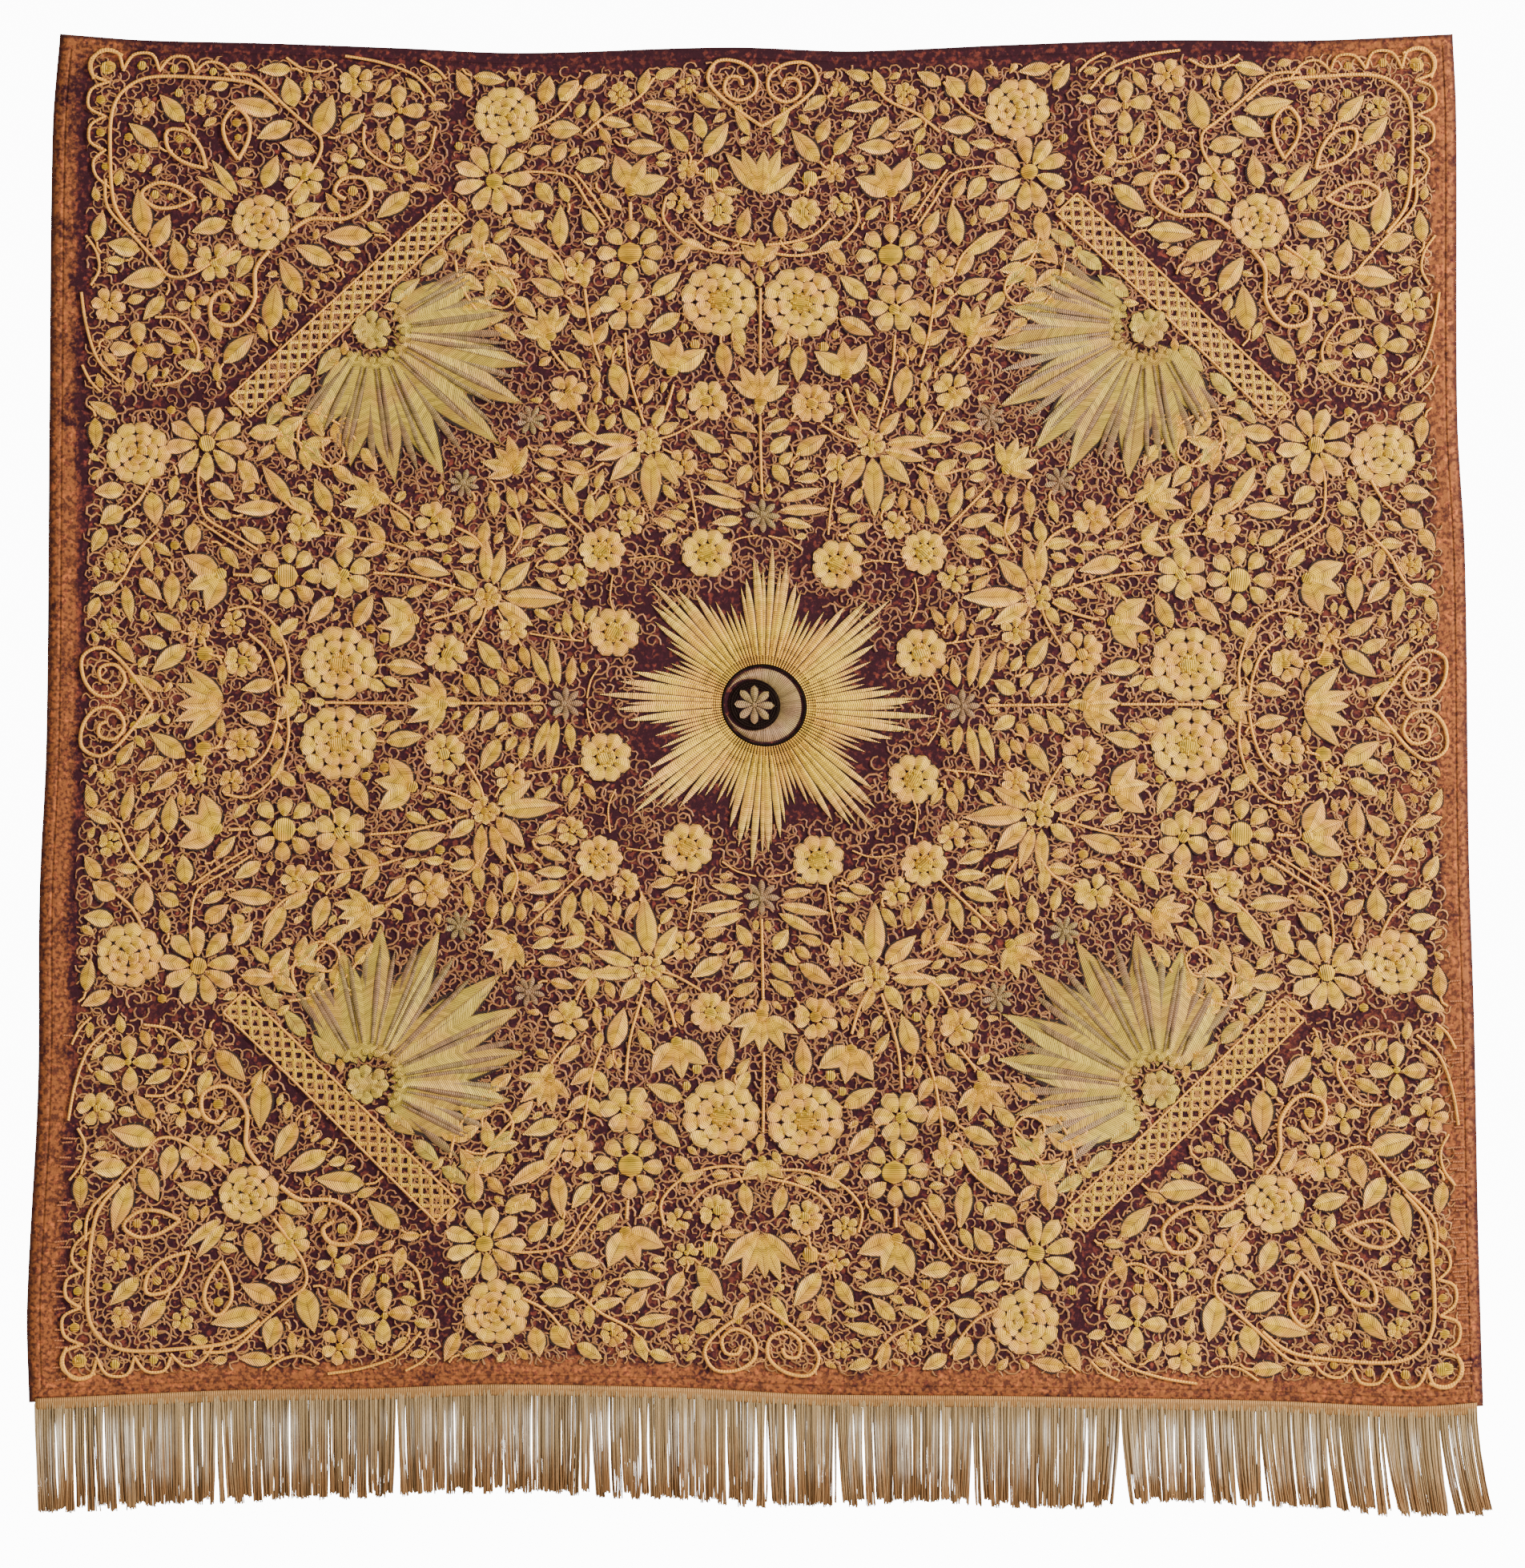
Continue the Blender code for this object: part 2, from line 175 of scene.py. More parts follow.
LOCK_LEAN = [
    EdgePoint(0.00, 0.0030),
    EdgePoint(0.25, 0.0006),
    EdgePoint(0.55, 0.0015),
    EdgePoint(0.72, 0.0000),
    EdgePoint(0.85, 0.0050),
    EdgePoint(1.00, 0.0115),
]
Parting = namedtuple("Parting", "along width")
PARTINGS = [
    Parting(0.040, 0.0030),
    Parting(0.125, 0.0045),
    Parting(0.250, 0.0040),
    Parting(0.318, 0.0022),
    Parting(0.385, 0.0050),
    Parting(0.508, 0.0038),
    Parting(0.556, 0.0050),
    Parting(0.650, 0.0052),
    Parting(0.753, 0.0130),
    Parting(0.812, 0.0056),
    Parting(0.850, 0.0050),
    Parting(0.896, 0.0048),
    Parting(0.935, 0.0056),
    Parting(0.974, 0.0060),
]
PARTING_REACH = 0.022

# One worked motif: where it starts, which way it points, its size, how high its foot stands above the
# velvet, and its tone from 0, dull, to 1, bright.
Stitch = namedtuple("Stitch", "u v turn length width lift tone")

# Flower heads in one eighth of the design.
Head = namedtuple("Head", "name u v radius petals twist")
HEADS = [
    Head("ring_rosette", 0.0480, 0.1130, 0.0195, 8, CENTRE_TWIST),
    Head("ring_rosette", 0.1185, 0.1185, 0.0175, 8, 0),
    Head("pair_rosette", 0.0305, 0.3120, 0.0285, 10, 0),
    Head("edge_rose", 0.1900, 0.4600, 0.0245, 9, 0),
    Head("corner_rose", 0.3700, 0.3700, 0.0220, 7, 0),
]

# Smaller flowers in one eighth of the design: their place, the way they face in degrees, and their radius.
Flower = namedtuple("Flower", "kind u v turn radius")
FLOWERS = [
    Flower("daisy", 0.0960, 0.3500, 90, 0.0250),
    Flower("tulip", 0.0975, 0.3990, 112, 0.0270),
    Flower("aster", 0.1985, 0.4100, 100, 0.0290),
    Flower("blossom", 0.0990, 0.3080, 60, 0.0205),
    Flower("rosette", 0.0385, 0.2340, 70, 0.0165),
    Flower("blossom", 0.0573, 0.1850, 0, 0.0120),
    Flower("blossom", 0.0980, 0.1390, 45, 0.0115),
    Flower("tulip", 0.0640, 0.2570, 100, 0.0260),
    Flower("blossom", 0.1340, 0.3400, 30, 0.0125),
    Flower("heart", 0.1700, 0.3760, 90, 0.0130),
    Flower("rosette", 0.1065, 0.4761, 0, 0.0095),
    Flower("blossom", 0.0570, 0.4810, 0, 0.0075),
    Flower("blossom", 0.0540, 0.4150, 70, 0.0092),
    Flower("blossom", 0.0600, 0.3900, 30, 0.0098),
    Flower("rosette", 0.0320, 0.3830, 0, 0.0135),
    Flower("blossom", 0.3382, 0.4053, 100, 0.0155),
    Flower("cross", 0.3060, 0.4200, 15, 0.0140),
    Flower("cross", 0.2700, 0.4600, 0, 0.0215),
    Flower("blossom", 0.3030, 0.4830, 80, 0.0140),
    Flower("blossom", 0.4150, 0.4620, 20, 0.0088),
    Flower("blossom", 0.1420, 0.2420, 45, 0.0150),
    Flower("lily", 0.1560, 0.2860, 70, 0.0240),
]
AXIS_FLOWERS = [  # these stand on the line from the middle of a side to the middle of the cloth
    Flower("palmette", 0.0, 0.3960, 90, 0.0420),
    Flower("lily", 0.0, 0.2350, 90, 0.0280),
    Flower("tulip", 0.0, 0.3420, 90, 0.0170),
]
DIAGONAL_FLOWERS = [
    Flower("blossom", 0.4580, 0.4580, 0, 0.0088),
    Flower("lily", 0.1810, 0.1810, 45, 0.0240),
]

# Leaves that are placed one by one in one eighth of the design: their foot, their way in degrees and size.
Leaf = namedtuple("Leaf", "u v turn length width")
LEAVES = [
    # round the corner rose and along the stem above it
    Leaf(0.3700, 0.3960, 108, 0.0290, 0.0120),
    Leaf(0.3870, 0.3905, 54, 0.0350, 0.0082),
    Leaf(0.3475, 0.4600, 76, 0.0260, 0.0135),
    Leaf(0.3578, 0.4564, 13, 0.0390, 0.0135),
    Leaf(0.3475, 0.4494, -28, 0.0300, 0.0130),
    Leaf(0.3307, 0.4265, 15, 0.0280, 0.0125),
    Leaf(0.3288, 0.4388, 104, 0.0360, 0.0150),
    Leaf(0.3470, 0.3760, 152, 0.0230, 0.0100),
    Leaf(0.3480, 0.3850, 128, 0.0200, 0.0090),
    # beside the edge rose
    Leaf(0.1490, 0.4710, 125, 0.0220, 0.0135),
    Leaf(0.1620, 0.4700, 100, 0.0240, 0.0120),
    Leaf(0.1600, 0.4500, 184, 0.0270, 0.0135),
    Leaf(0.1330, 0.4830, 150, 0.0220, 0.0100),
    Leaf(0.2170, 0.4740, 62, 0.0250, 0.0100),
    # left of the large blossom
    Leaf(0.1380, 0.4190, 172, 0.0240, 0.0115),
    Leaf(0.1540, 0.4240, 122, 0.0190, 0.0100),
    Leaf(0.1660, 0.4080, 236, 0.0230, 0.0115),
    Leaf(0.1850, 0.3870, 220, 0.0250, 0.0110),
    Leaf(0.2060, 0.3800, 275, 0.0280, 0.0120),
    # below it, beside the daisy
    Leaf(0.1485, 0.3545, 95, 0.0360, 0.0115),
    Leaf(0.1520, 0.3470, 30, 0.0380, 0.0110),
    Leaf(0.1450, 0.3300, 60, 0.0240, 0.0100),
    Leaf(0.1220, 0.3640, 60, 0.0240, 0.0100),
    # along the stem beside the heart
    Leaf(0.0900, 0.4680, 190, 0.0300, 0.0085),
    Leaf(0.0960, 0.4600, 226, 0.0250, 0.0100),
    Leaf(0.0900, 0.4740, 104, 0.0230, 0.0090),
    Leaf(0.1200, 0.4560, 196, 0.0240, 0.0080),
    Leaf(0.1240, 0.4540, 92, 0.0190, 0.0080),
    Leaf(0.0800, 0.4880, 160, 0.0200, 0.0085),
    # round the hub below the tulip
    Leaf(0.0825, 0.1930, -90, 0.0480, 0.0140),
    Leaf(0.0770, 0.1950, -122, 0.0330, 0.0115),
    Leaf(0.0880, 0.1940, -45, 0.0330, 0.0125),
    Leaf(0.0920, 0.2040, 3, 0.0380, 0.0095),
    Leaf(0.0920, 0.1990, -16, 0.0340, 0.0095),
    Leaf(0.0890, 0.2100, 52, 0.0240, 0.0100),
    Leaf(0.0800, 0.2120, 112, 0.0200, 0.0085),
    Leaf(0.0760, 0.2080, 152, 0.0180, 0.0080),
    # beside the silver flower on the axis
    Leaf(0.0130, 0.1510, 8, 0.0400, 0.0080),
    Leaf(0.0130, 0.1580, 22, 0.0350, 0.0080),
    Leaf(0.0140, 0.1420, -8, 0.0240, 0.0075),
    Leaf(0.0080, 0.1850, -58, 0.0200, 0.0100),
    Leaf(0.0060, 0.1950, 40, 0.0220, 0.0100),
    # near the diagonal, outside the ring of rosettes
    Leaf(0.1280, 0.1400, 92, 0.0250, 0.0085),
    Leaf(0.1380, 0.1440, 72, 0.0300, 0.0095),
    # between the axis and the tulip
    Leaf(0.0100, 0.2760, 62, 0.0240, 0.0085),
    Leaf(0.0080, 0.4420, 62, 0.0260, 0.0075),
    Leaf(0.0420, 0.4380, 70, 0.0230, 0.0095),
    Leaf(0.0600, 0.3600, 200, 0.0200, 0.0080),
    Leaf(0.0640, 0.3420, 130, 0.0220, 0.0090),
    # above the band
    Leaf(0.2560, 0.4100, 75, 0.0220, 0.0095),
    Leaf(0.2760, 0.4000, 20, 0.0220, 0.0095),
    Leaf(0.2480, 0.4660, 170, 0.0150, 0.0070),
]

# Leafy stems in one eighth of the design, through these points. Leaves stand in pairs along them.
Spray = namedtuple("Spray", "points pairs leaf splay")
SPRAYS = [
    Spray([(0.111, 0.200), (0.128, 0.212), (0.136, 0.226)], 1, 0.0200, 44),
    Spray([(0.116, 0.186), (0.132, 0.178), (0.150, 0.182)], 1, 0.0200, 40),
    Spray([(0.142, 0.258), (0.150, 0.268), (0.154, 0.274)], 0, 0.0200, 40),
    Spray([(0.118, 0.262), (0.124, 0.282), (0.128, 0.306), (0.130, 0.322)], 2, 0.0210, 42),
    Spray([(0.206, 0.372), (0.204, 0.350), (0.192, 0.330), (0.182, 0.318)], 2, 0.0240, 44),
    Spray([(0.226, 0.345), (0.222, 0.326), (0.210, 0.306), (0.198, 0.296)], 2, 0.0230, 44),
]
AXIS_SPRAYS = [
    Spray([(0.0, 0.162), (0.0, 0.190), (0.0, 0.222)], 0, 0.0180, 44),
    Spray([(0.0, 0.262), (0.0, 0.280), (0.0, 0.322)], 0, 0.0160, 50),
]

# Couched cords and plain stems in one eighth of the design.
Cord = namedtuple("Cord", "points thickness")
CORDS = [
    # the heart of two scrolls in the middle of each side
    Cord([(0.0, 0.449), (0.016, 0.460), (0.033, 0.474), (0.041, 0.487), (0.034, 0.500), (0.017, 0.499),
          (0.005, 0.489), (0.006, 0.475), (0.018, 0.469), (0.028, 0.476), (0.026, 0.487), (0.017, 0.487),
          (0.015, 0.481)], 0.0030),
    # stems that arch beside the palmette
    Cord([(0.004, 0.356), (0.022, 0.359), (0.040, 0.366), (0.052, 0.379)], 0.0024),
    Cord([(0.006, 0.350), (0.030, 0.349), (0.056, 0.358), (0.072, 0.376), (0.070, 0.394)], 0.0024),
    Cord([(0.034, 0.397), (0.037, 0.408), (0.048, 0.412)], 0.0022),
    # stems of the tulips, the daisy and the large blossom
    Cord([(0.0965, 0.3760), (0.0970, 0.3900)], 0.0028),
    Cord([(0.1000, 0.2870), (0.0970, 0.2550), (0.0860, 0.2160)], 0.0022),
    Cord([(0.0640, 0.2460), (0.0700, 0.2260), (0.0780, 0.2120)], 0.0024),
    Cord([(0.0450, 0.2180), (0.0620, 0.2080), (0.0740, 0.2040)], 0.0020),
    Cord([(0.0640, 0.1920), (0.0720, 0.1960)], 0.0018),
    Cord([(0.1160, 0.3720), (0.1280, 0.3900), (0.1420, 0.4110), (0.1660, 0.4160), (0.1800, 0.4150)], 0.0022),
    Cord([(0.1120, 0.3760), (0.1240, 0.3950), (0.1380, 0.4150)], 0.0020),
    Cord([(0.1320, 0.3280), (0.1420, 0.3300), (0.1500, 0.3480), (0.1680, 0.3640)], 0.0022),
    Cord([(0.1710, 0.4500), (0.1520, 0.4610), (0.1350, 0.4840)], 0.0024),
    Cord([(0.1320, 0.4450), (0.1150, 0.4600), (0.0930, 0.4720), (0.0810, 0.4880)], 0.0024),
    # the stem above the corner rose
    Cord([(0.3520, 0.3880), (0.3300, 0.4190), (0.3270, 0.4370), (0.3382, 0.4476), (0.3569, 0.4640),
          (0.3790, 0.4840), (0.4010, 0.4860)], 0.0026),
    # the large scroll beside the band
    Cord([(0.3480, 0.3640), (0.3330, 0.3740), (0.3080, 0.3750), (0.2900, 0.3890), (0.2940, 0.4060),
          (0.3100, 0.4060), (0.3160, 0.3960), (0.3080, 0.3900)], 0.0036),
    # scallops outside the rounded corner
    Cord([(0.4980, 0.4780), (0.5010, 0.4900), (0.4940, 0.5010), (0.4820, 0.5000), (0.4770, 0.4880)], 0.0028),
    Cord([(0.4770, 0.4860), (0.4700, 0.4990), (0.4560, 0.5000), (0.4500, 0.4880)], 0.0026),
    Cord([(0.4500, 0.4870), (0.4420, 0.4980), (0.4290, 0.4980), (0.4240, 0.4880)], 0.0026),
    Cord([(0.4240, 0.4860), (0.4150, 0.4950), (0.4030, 0.4930), (0.3940, 0.4820)], 0.0024),
    # arcs near the bare strip
    Cord([(0.2420, 0.4500), (0.2480, 0.4270), (0.2700, 0.4160), (0.2930, 0.4300), (0.2950, 0.4480)], 0.0024),
    Cord([(0.2440, 0.4740), (0.2600, 0.4900), (0.2860, 0.4990), (0.3120, 0.5030)], 0.0024),
    Cord([(0.3180, 0.4960), (0.3300, 0.4900), (0.3440, 0.4920), (0.3560, 0.5000)], 0.0022),
    Cord([(0.2360, 0.4880), (0.2440, 0.4960), (0.2560, 0.5020)], 0.0022),
    # thin stems between the sunburst and the rosettes
    Cord([(0.0040, 0.1300), (0.0180, 0.1270), (0.0290, 0.1200)], 0.0014),
    Cord([(0.0660, 0.1080), (0.0800, 0.1130), (0.0990, 0.1110)], 0.0014),
    Cord([(0.0480, 0.1330), (0.0500, 0.1500), (0.0540, 0.1720)], 0.0016),
]
DIAGONAL_CORDS = [  # each lies across the diagonal, so it has four copies
    Cord([(0.3600, 0.4640), (0.3820, 0.4790), (0.4240, 0.4830), (0.4560, 0.4820), (0.4730, 0.4730),
          (0.4820, 0.4560), (0.4830, 0.4240), (0.4790, 0.3820), (0.4640, 0.3600)], 0.0031),
    Cord([(0.1260, 0.1260), (0.1500, 0.1500), (0.1700, 0.1700)], 0.0022),
]

# Cord loops with two beads in each, the first on the diagonal.
Loop = namedtuple("Loop", "where u v turn length width")
LOOPS = [
    Loop("diagonal", 0.4115, 0.4115, 45, 0.0400, 0.0200),
    Loop("eighth", 0.3880, 0.4190, 86, 0.0390, 0.0195),
]

# Beads and French knots in one eighth of the design: place and radius.
Bead = namedtuple("Bead", "u v radius")
BEADS = [
    Bead(0.4885, 0.4885, 0.0050),
    Bead(0.4630, 0.4910, 0.0036),
    Bead(0.4370, 0.4900, 0.0034),
    Bead(0.4100, 0.4870, 0.0030),
    Bead(0.4350, 0.4700, 0.0034),
    Bead(0.0360, 0.4110, 0.0062),
    Bead(0.1190, 0.4320, 0.0036),
    Bead(0.0480, 0.2780, 0.0040),
    Bead(0.0560, 0.2900, 0.0034),
    Bead(0.1120, 0.2340, 0.0036),
    Bead(0.2240, 0.4360, 0.0034),
    Bead(0.0170, 0.4620, 0.0034),
    Bead(0.3020, 0.3960, 0.0040),
    Bead(0.2700, 0.4330, 0.0036),
]

# Silver flowers: their place in one eighth, and radius.
SILVER_STARS = [Flower("star", 0.0, 0.1455, 90, 0.0135), Flower("star", 0.1700, 0.2200, 30, 0.0120)]

# The bare strip of velvet that parts a corner from the rest.
STRIP = [(0.222, 0.512), (0.226, 0.470), (0.234, 0.400), (0.256, 0.3785), (0.3172, 0.3172)]
STRIP_HALF_WIDTH = 0.0036

# Gap filling: leaf sprigs are set wherever there is room for them.
SPRIG_SIZES = [0.038, 0.034, 0.030, 0.026, 0.023, 0.020, 0.0175, 0.0150, 0.0125, 0.0100]
SPRIG_TRIES = 1200
SPRIG_GAP = 0.0012
SPRIG_NEAR_MIDDLE = 0.022  # the longest in the dark ground round the ring of rosettes

# Where a part of the design is drawn: in one eighth of it, on an axis or on a diagonal.
PLACES = ("eighth", "axis", "diagonal")

ROOT = "root"


class ClothSettings(bpy.types.PropertyGroup):
    """The velvet ground."""

    columns: IntProperty(
        name="Columns", description="Faces across the cloth", default=124, min=20, max=300
    )
    rows: IntProperty(name="Rows", description="Faces down the cloth", default=118, min=20, max=300)
    pucker: FloatProperty(
        name="Pucker",
        description="How far the needlework draws the velvet in and out",
        default=0.00035,
        min=0.0,
        max=0.001,
        unit="LENGTH",
    )
    pile_dark: FloatVectorProperty(
        name="Unworn pile", description="The velvet's colour", default=(0.027, 0.0066, 0.0115), subtype="COLOR"
    )
    pile_rubbed: FloatVectorProperty(
        name="Rubbed pile",
        description="The colour of the pile where it is thin",
        default=(0.205, 0.050, 0.030),
        subtype="COLOR",
    )
    pile_worn: FloatVectorProperty(
        name="Worn pile",
        description="The colour of the ground where the pile has gone",
        default=(0.265, 0.088, 0.029),
        subtype="COLOR",
    )
    back: FloatVectorProperty(
        name="Back", description="The colour of the velvet's woven back", default=(0.150, 0.062, 0.052), subtype="COLOR"
    )
    yarn: FloatProperty(
        name="Yarn",
        description="Two threads of the woven back, from middle to middle",
        default=0.0016,
        min=0.0004,
        max=0.01,
        unit="LENGTH",
    )


class ThreadSettings(bpy.types.PropertyGroup):
    """The metal threads."""

    gold: FloatVectorProperty(
        name="Gold", description="Gilt thread in the middle of a motif", default=(0.92, 0.555, 0.016), subtype="COLOR"
    )
    # The paler edge colour is partly the thread's own tone and partly a painted highlight along the rim and tip of a
    # motif.
    gold_edge_and_highlight: FloatVectorProperty(
        name="Gold edge",
        description="Gilt thread at the edge of a motif, where the core shows",
        default=(1.0, 0.56, 0.088),
        subtype="COLOR",
    )
    gold_middle: FloatVectorProperty(
        name="Gold middle", description="The knotted middles of flowers", default=(0.56, 0.36, 0.008), subtype="COLOR"
    )
    sun: FloatVectorProperty(
        name="Sun gold", description="The sunburst's rays", default=(0.92, 0.58, 0.014), subtype="COLOR"
    )
    # The paler edge colour is partly the thread's own tone and partly a painted highlight along the edges and tips of
    # the rays.
    sun_edge_and_highlight: FloatVectorProperty(
        name="Sun edge", description="The edges and tips of the rays", default=(1.0, 0.64, 0.12), subtype="COLOR"
    )
    pale_gold: FloatVectorProperty(
        name="Pale gold", description="The fans in the panels", default=(0.74, 0.52, 0.060), subtype="COLOR"
    )
    copper: FloatVectorProperty(
        name="Copper", description="The bars of the border", default=(0.40, 0.145, 0.062), subtype="COLOR"
    )
    cord: FloatVectorProperty(
        name="Cord", description="Couched cords", default=(0.88, 0.42, 0.075), subtype="COLOR"
    )
    silver: FloatVectorProperty(
        name="Silver", description="Silver thread", default=(0.38, 0.25, 0.088), subtype="COLOR"
    )
    spacing: FloatProperty(
        name="Thread spacing",
        description="From one laid thread to the next",
        default=0.0016,
        min=0.0003,
        max=0.003,
        unit="LENGTH",
    )
    relief: FloatProperty(
        name="Relief",
        description="How high a raised motif stands",
        default=0.0026,
        min=0.0005,
        max=0.004,
        unit="LENGTH",
    )


class FillingSettings(bpy.types.PropertyGroup):
    """The scrolled filling between the motifs."""

    spacing: FloatProperty(
        name="Spacing",
        description="The least distance from one curl to the next",
        default=0.0054,
        min=0.003,
        max=0.05,
        unit="LENGTH",
    )
    curl: FloatProperty(
        name="Curl size", description="Across one curl", default=0.0108, min=0.004, max=0.03, unit="LENGTH"
    )
    thread: FloatProperty(
        name="Thread", description="Width of its thread", default=0.0016, min=0.0003, max=0.003, unit="LENGTH"
    )
    colour: FloatVectorProperty(
        name="Colour", description="The filling's thread", default=(0.56, 0.245, 0.065), subtype="COLOR"
    )
    reddish: FloatVectorProperty(
        name="Reddish", description="The filling where it has dulled", default=(0.29, 0.098, 0.046), subtype="COLOR"
    )


class FringeSettings(bpy.types.PropertyGroup):
    """The metal-thread fringe."""

    threads: IntProperty(
        name="Threads", description="Threads in the whole fringe", default=3000, min=100, max=4000
    )
    radius: FloatProperty(
        name="Thread radius", description="Of one twisted thread", default=0.00062, min=0.0001, max=0.001, unit="LENGTH"
    )
    pale: FloatVectorProperty(
        name="Bright thread", description="Where the metal still shines", default=(0.52, 0.38, 0.20), subtype="COLOR"
    )
    # The near-white streaks painted in this colour are partly silver thread and partly a painted highlight.
    silver: FloatVectorProperty(
        name="Silver thread", description="The brightest threads", default=(0.95, 0.86, 0.72), subtype="COLOR"
    )
    rust: FloatVectorProperty(
        name="Bare core", description="Where the brown core shows", default=(0.31, 0.155, 0.055), subtype="COLOR"
    )


class StageSettings(bpy.types.PropertyGroup):
    """The camera and the studio round the hanging."""

    distance: FloatProperty(
        name="Camera distance", description="From the cloth", default=3.6, min=1, max=20, unit="LENGTH"
    )
    frame_height: FloatProperty(
        name="Frame height", description="What the camera takes in", default=1.1748, min=0.2, max=5, unit="LENGTH"
    )


def smooth_curve(points, along):
    """The places at "along", a number or an array, on a smooth curve through the points."""
    stations, places = np.array(points, float).T
    slopes = np.empty_like(places)
    slopes[1:-1] = (places[2:] - places[:-2]) / (stations[2:] - stations[:-2])
    slopes[0] = (places[1] - places[0]) / (stations[1] - stations[0])
    slopes[-1] = (places[-1] - places[-2]) / (stations[-1] - stations[-2])
    k = np.clip(np.searchsorted(stations, along) - 1, 0, len(points) - 2)
    span = stations[k + 1] - stations[k]
    share = (along - stations[k]) / span
    return (
        places[k] * (1 + 2 * share) * (1 - share) ** 2
        + slopes[k] * span * share * (1 - share) ** 2
        + places[k + 1] * share**2 * (3 - 2 * share)
        + slopes[k + 1] * span * share**2 * (share - 1)
    )


def fold_depth(across, down):
    """How far forward the cloth's mid-plane stands, at shares of its width and height."""
    fall = np.maximum(0.0, (down - HELD_SHARE) / (1 - HELD_SHARE))
    depth = 0.0
    for fold in FOLDS:
        middle = fold.across + fold.drift * (1 - down)
        depth = depth + fold.depth * np.exp(-(((across - middle) / fold.half_width) ** 2))
    return depth * fall**FOLD_ONSET


def hung(across, down, forward):
    """The points at shares of the cloth's width and height, that far forward of its mid-plane."""
    left = smooth_curve(LEFT_EDGE, np.minimum(down, 1.0))
    right = smooth_curve(RIGHT_EDGE, np.minimum(down, 1.0))
    top = smooth_curve(TOP_EDGE, across)
    bottom = smooth_curve(BOTTOM_EDGE, across)
    return np.stack(
        (
            left + (right - left) * across,
            -fold_depth(across, down) - forward,
            top + (bottom - top) * down,
        ),
        axis=-1,
    )


def on_cloth(u, v):
    """The shares of the cloth's width and height at a place of the flat design."""
    across = DESIGN_ACROSS + u * DESIGN_STRETCH_ACROSS / CLOTH_WIDTH
    rise = v * DESIGN_STRETCH_DOWN - DESIGN_CROWDING * v * v
    return across, DESIGN_DOWN - rise / CLOTH_HEIGHT


def mesh_points(mesh):
    flat = np.empty(len(mesh.vertices) * 3, np.float32)
    mesh.vertices.foreach_get("co", flat)
    return flat.reshape(-1, 3).astype(float)


def set_mesh_points(mesh, points):
    mesh.vertices.foreach_set("co", points.astype(np.float32).ravel())
    mesh.update()


def lay_on_cloth(mesh):
    """Moves a flat mesh, in design coordinates and heights, to where it hangs."""
    u, v, height = mesh_points(mesh).T
    across, down = on_cloth(u, v)
    set_mesh_points(mesh, hung(across, down, CLOTH_THICKNESS / 2 + height))


def mirror(stitches):
    """The eight mirrored copies of stitches in one eighth of the design."""
    made = []
    for swap in (False, True):
        for side in (1, -1):
            for rise in (1, -1):
                for stitch in stitches:
                    u, v, turn = stitch.u, stitch.v, stitch.turn
                    if swap:
                        u, v, turn = v, u, math.pi / 2 - turn
                    if side < 0:
                        u, turn = -u, math.pi - turn
                    if rise < 0:
                        v, turn = -v, -turn
                    made.append(stitch._replace(u=u, v=v, turn=turn))
    return made


def quarter_turns(stitches):
    """The four turned copies of stitches on an axis of the design."""
    made = []
    for cosine, sine in ((1, 0), (0, 1), (-1, 0), (0, -1)):
        for stitch in stitches:
            made.append(
                stitch._replace(
                    u=stitch.u * cosine - stitch.v * sine,
                    v=stitch.u * sine + stitch.v * cosine,
                    turn=stitch.turn + math.atan2(sine, cosine),
                )
            )
    return made


def repeated(path, where):
    """The copies of a path: eight of one in an eighth, four of one on an axis or across a diagonal."""
    if where == "axis":
        turns = ((1, 0), (0, 1), (-1, 0), (0, -1))
        return [[(a * c - b * s, a * s + b * c) for a, b in path] for c, s in turns]
    made = [[(side * a, rise * b) for a, b in path] for side in (1, -1) for rise in (1, -1)]
    if where == "eighth":
        made += [[(b, a) for a, b in copy] for copy in made]
    return made


def smooth_path(points, step):
    """Points about a step apart on a smooth curve through a path's points."""
    ends = [points[0], *points, points[-1]]
    made = []
    for before, start, end, after in zip(ends, ends[1:], ends[2:], ends[3:]):
        count = max(2, round(math.dist(start, end) / step))
        for k in range(count):
            t = k / count
            made.append(
                tuple(
                    0.5 * (2 * b + (c - a) * t + (2 * a - 5 * b + 4 * c - d) * t * t
                           + (3 * b - a - 3 * c + d) * t**3)
                    for a, b, c, d in zip(before, start, end, after)
                )
            )
    made.append(tuple(points[-1]))
    return made


# Materials


def put_node(tree, kind, links=(), **values):
    """Adds a node, sets its values, and links (socket, input name or number) pairs to it."""
    node = tree.nodes.new(kind)
    for name, value in values.items():
        setattr(node, name, value)
    for source, target in links:
        if hasattr(source, "default_value") or hasattr(source, "is_linked"):
            tree.links.new(source, node.inputs[target])
        else:
            node.inputs[target].default_value = source
    return node


def math_node(tree, operation, first, second=0.0, third=None):
    links = [(first, 0), (second, 1)]
    if third is not None:
        links.append((third, 2))
    return put_node(tree, "ShaderNodeMath", links, operation=operation).outputs[0]


def mix_colour(tree, factor, first, second, blend="MIX"):
    node = tree.nodes.new("ShaderNodeMix")
    node.data_type = "RGBA"
    node.blend_type = blend
    sockets = {"Factor_Float": factor, "A_Color": first, "B_Color": second}
    for identifier, value in sockets.items():
        socket = next(s for s in node.inputs if s.identifier == identifier)
        if hasattr(value, "is_linked"):
            tree.links.new(value, socket)
        else:
            socket.default_value = value
    return next(s for s in node.outputs if s.identifier == "Result_Color")


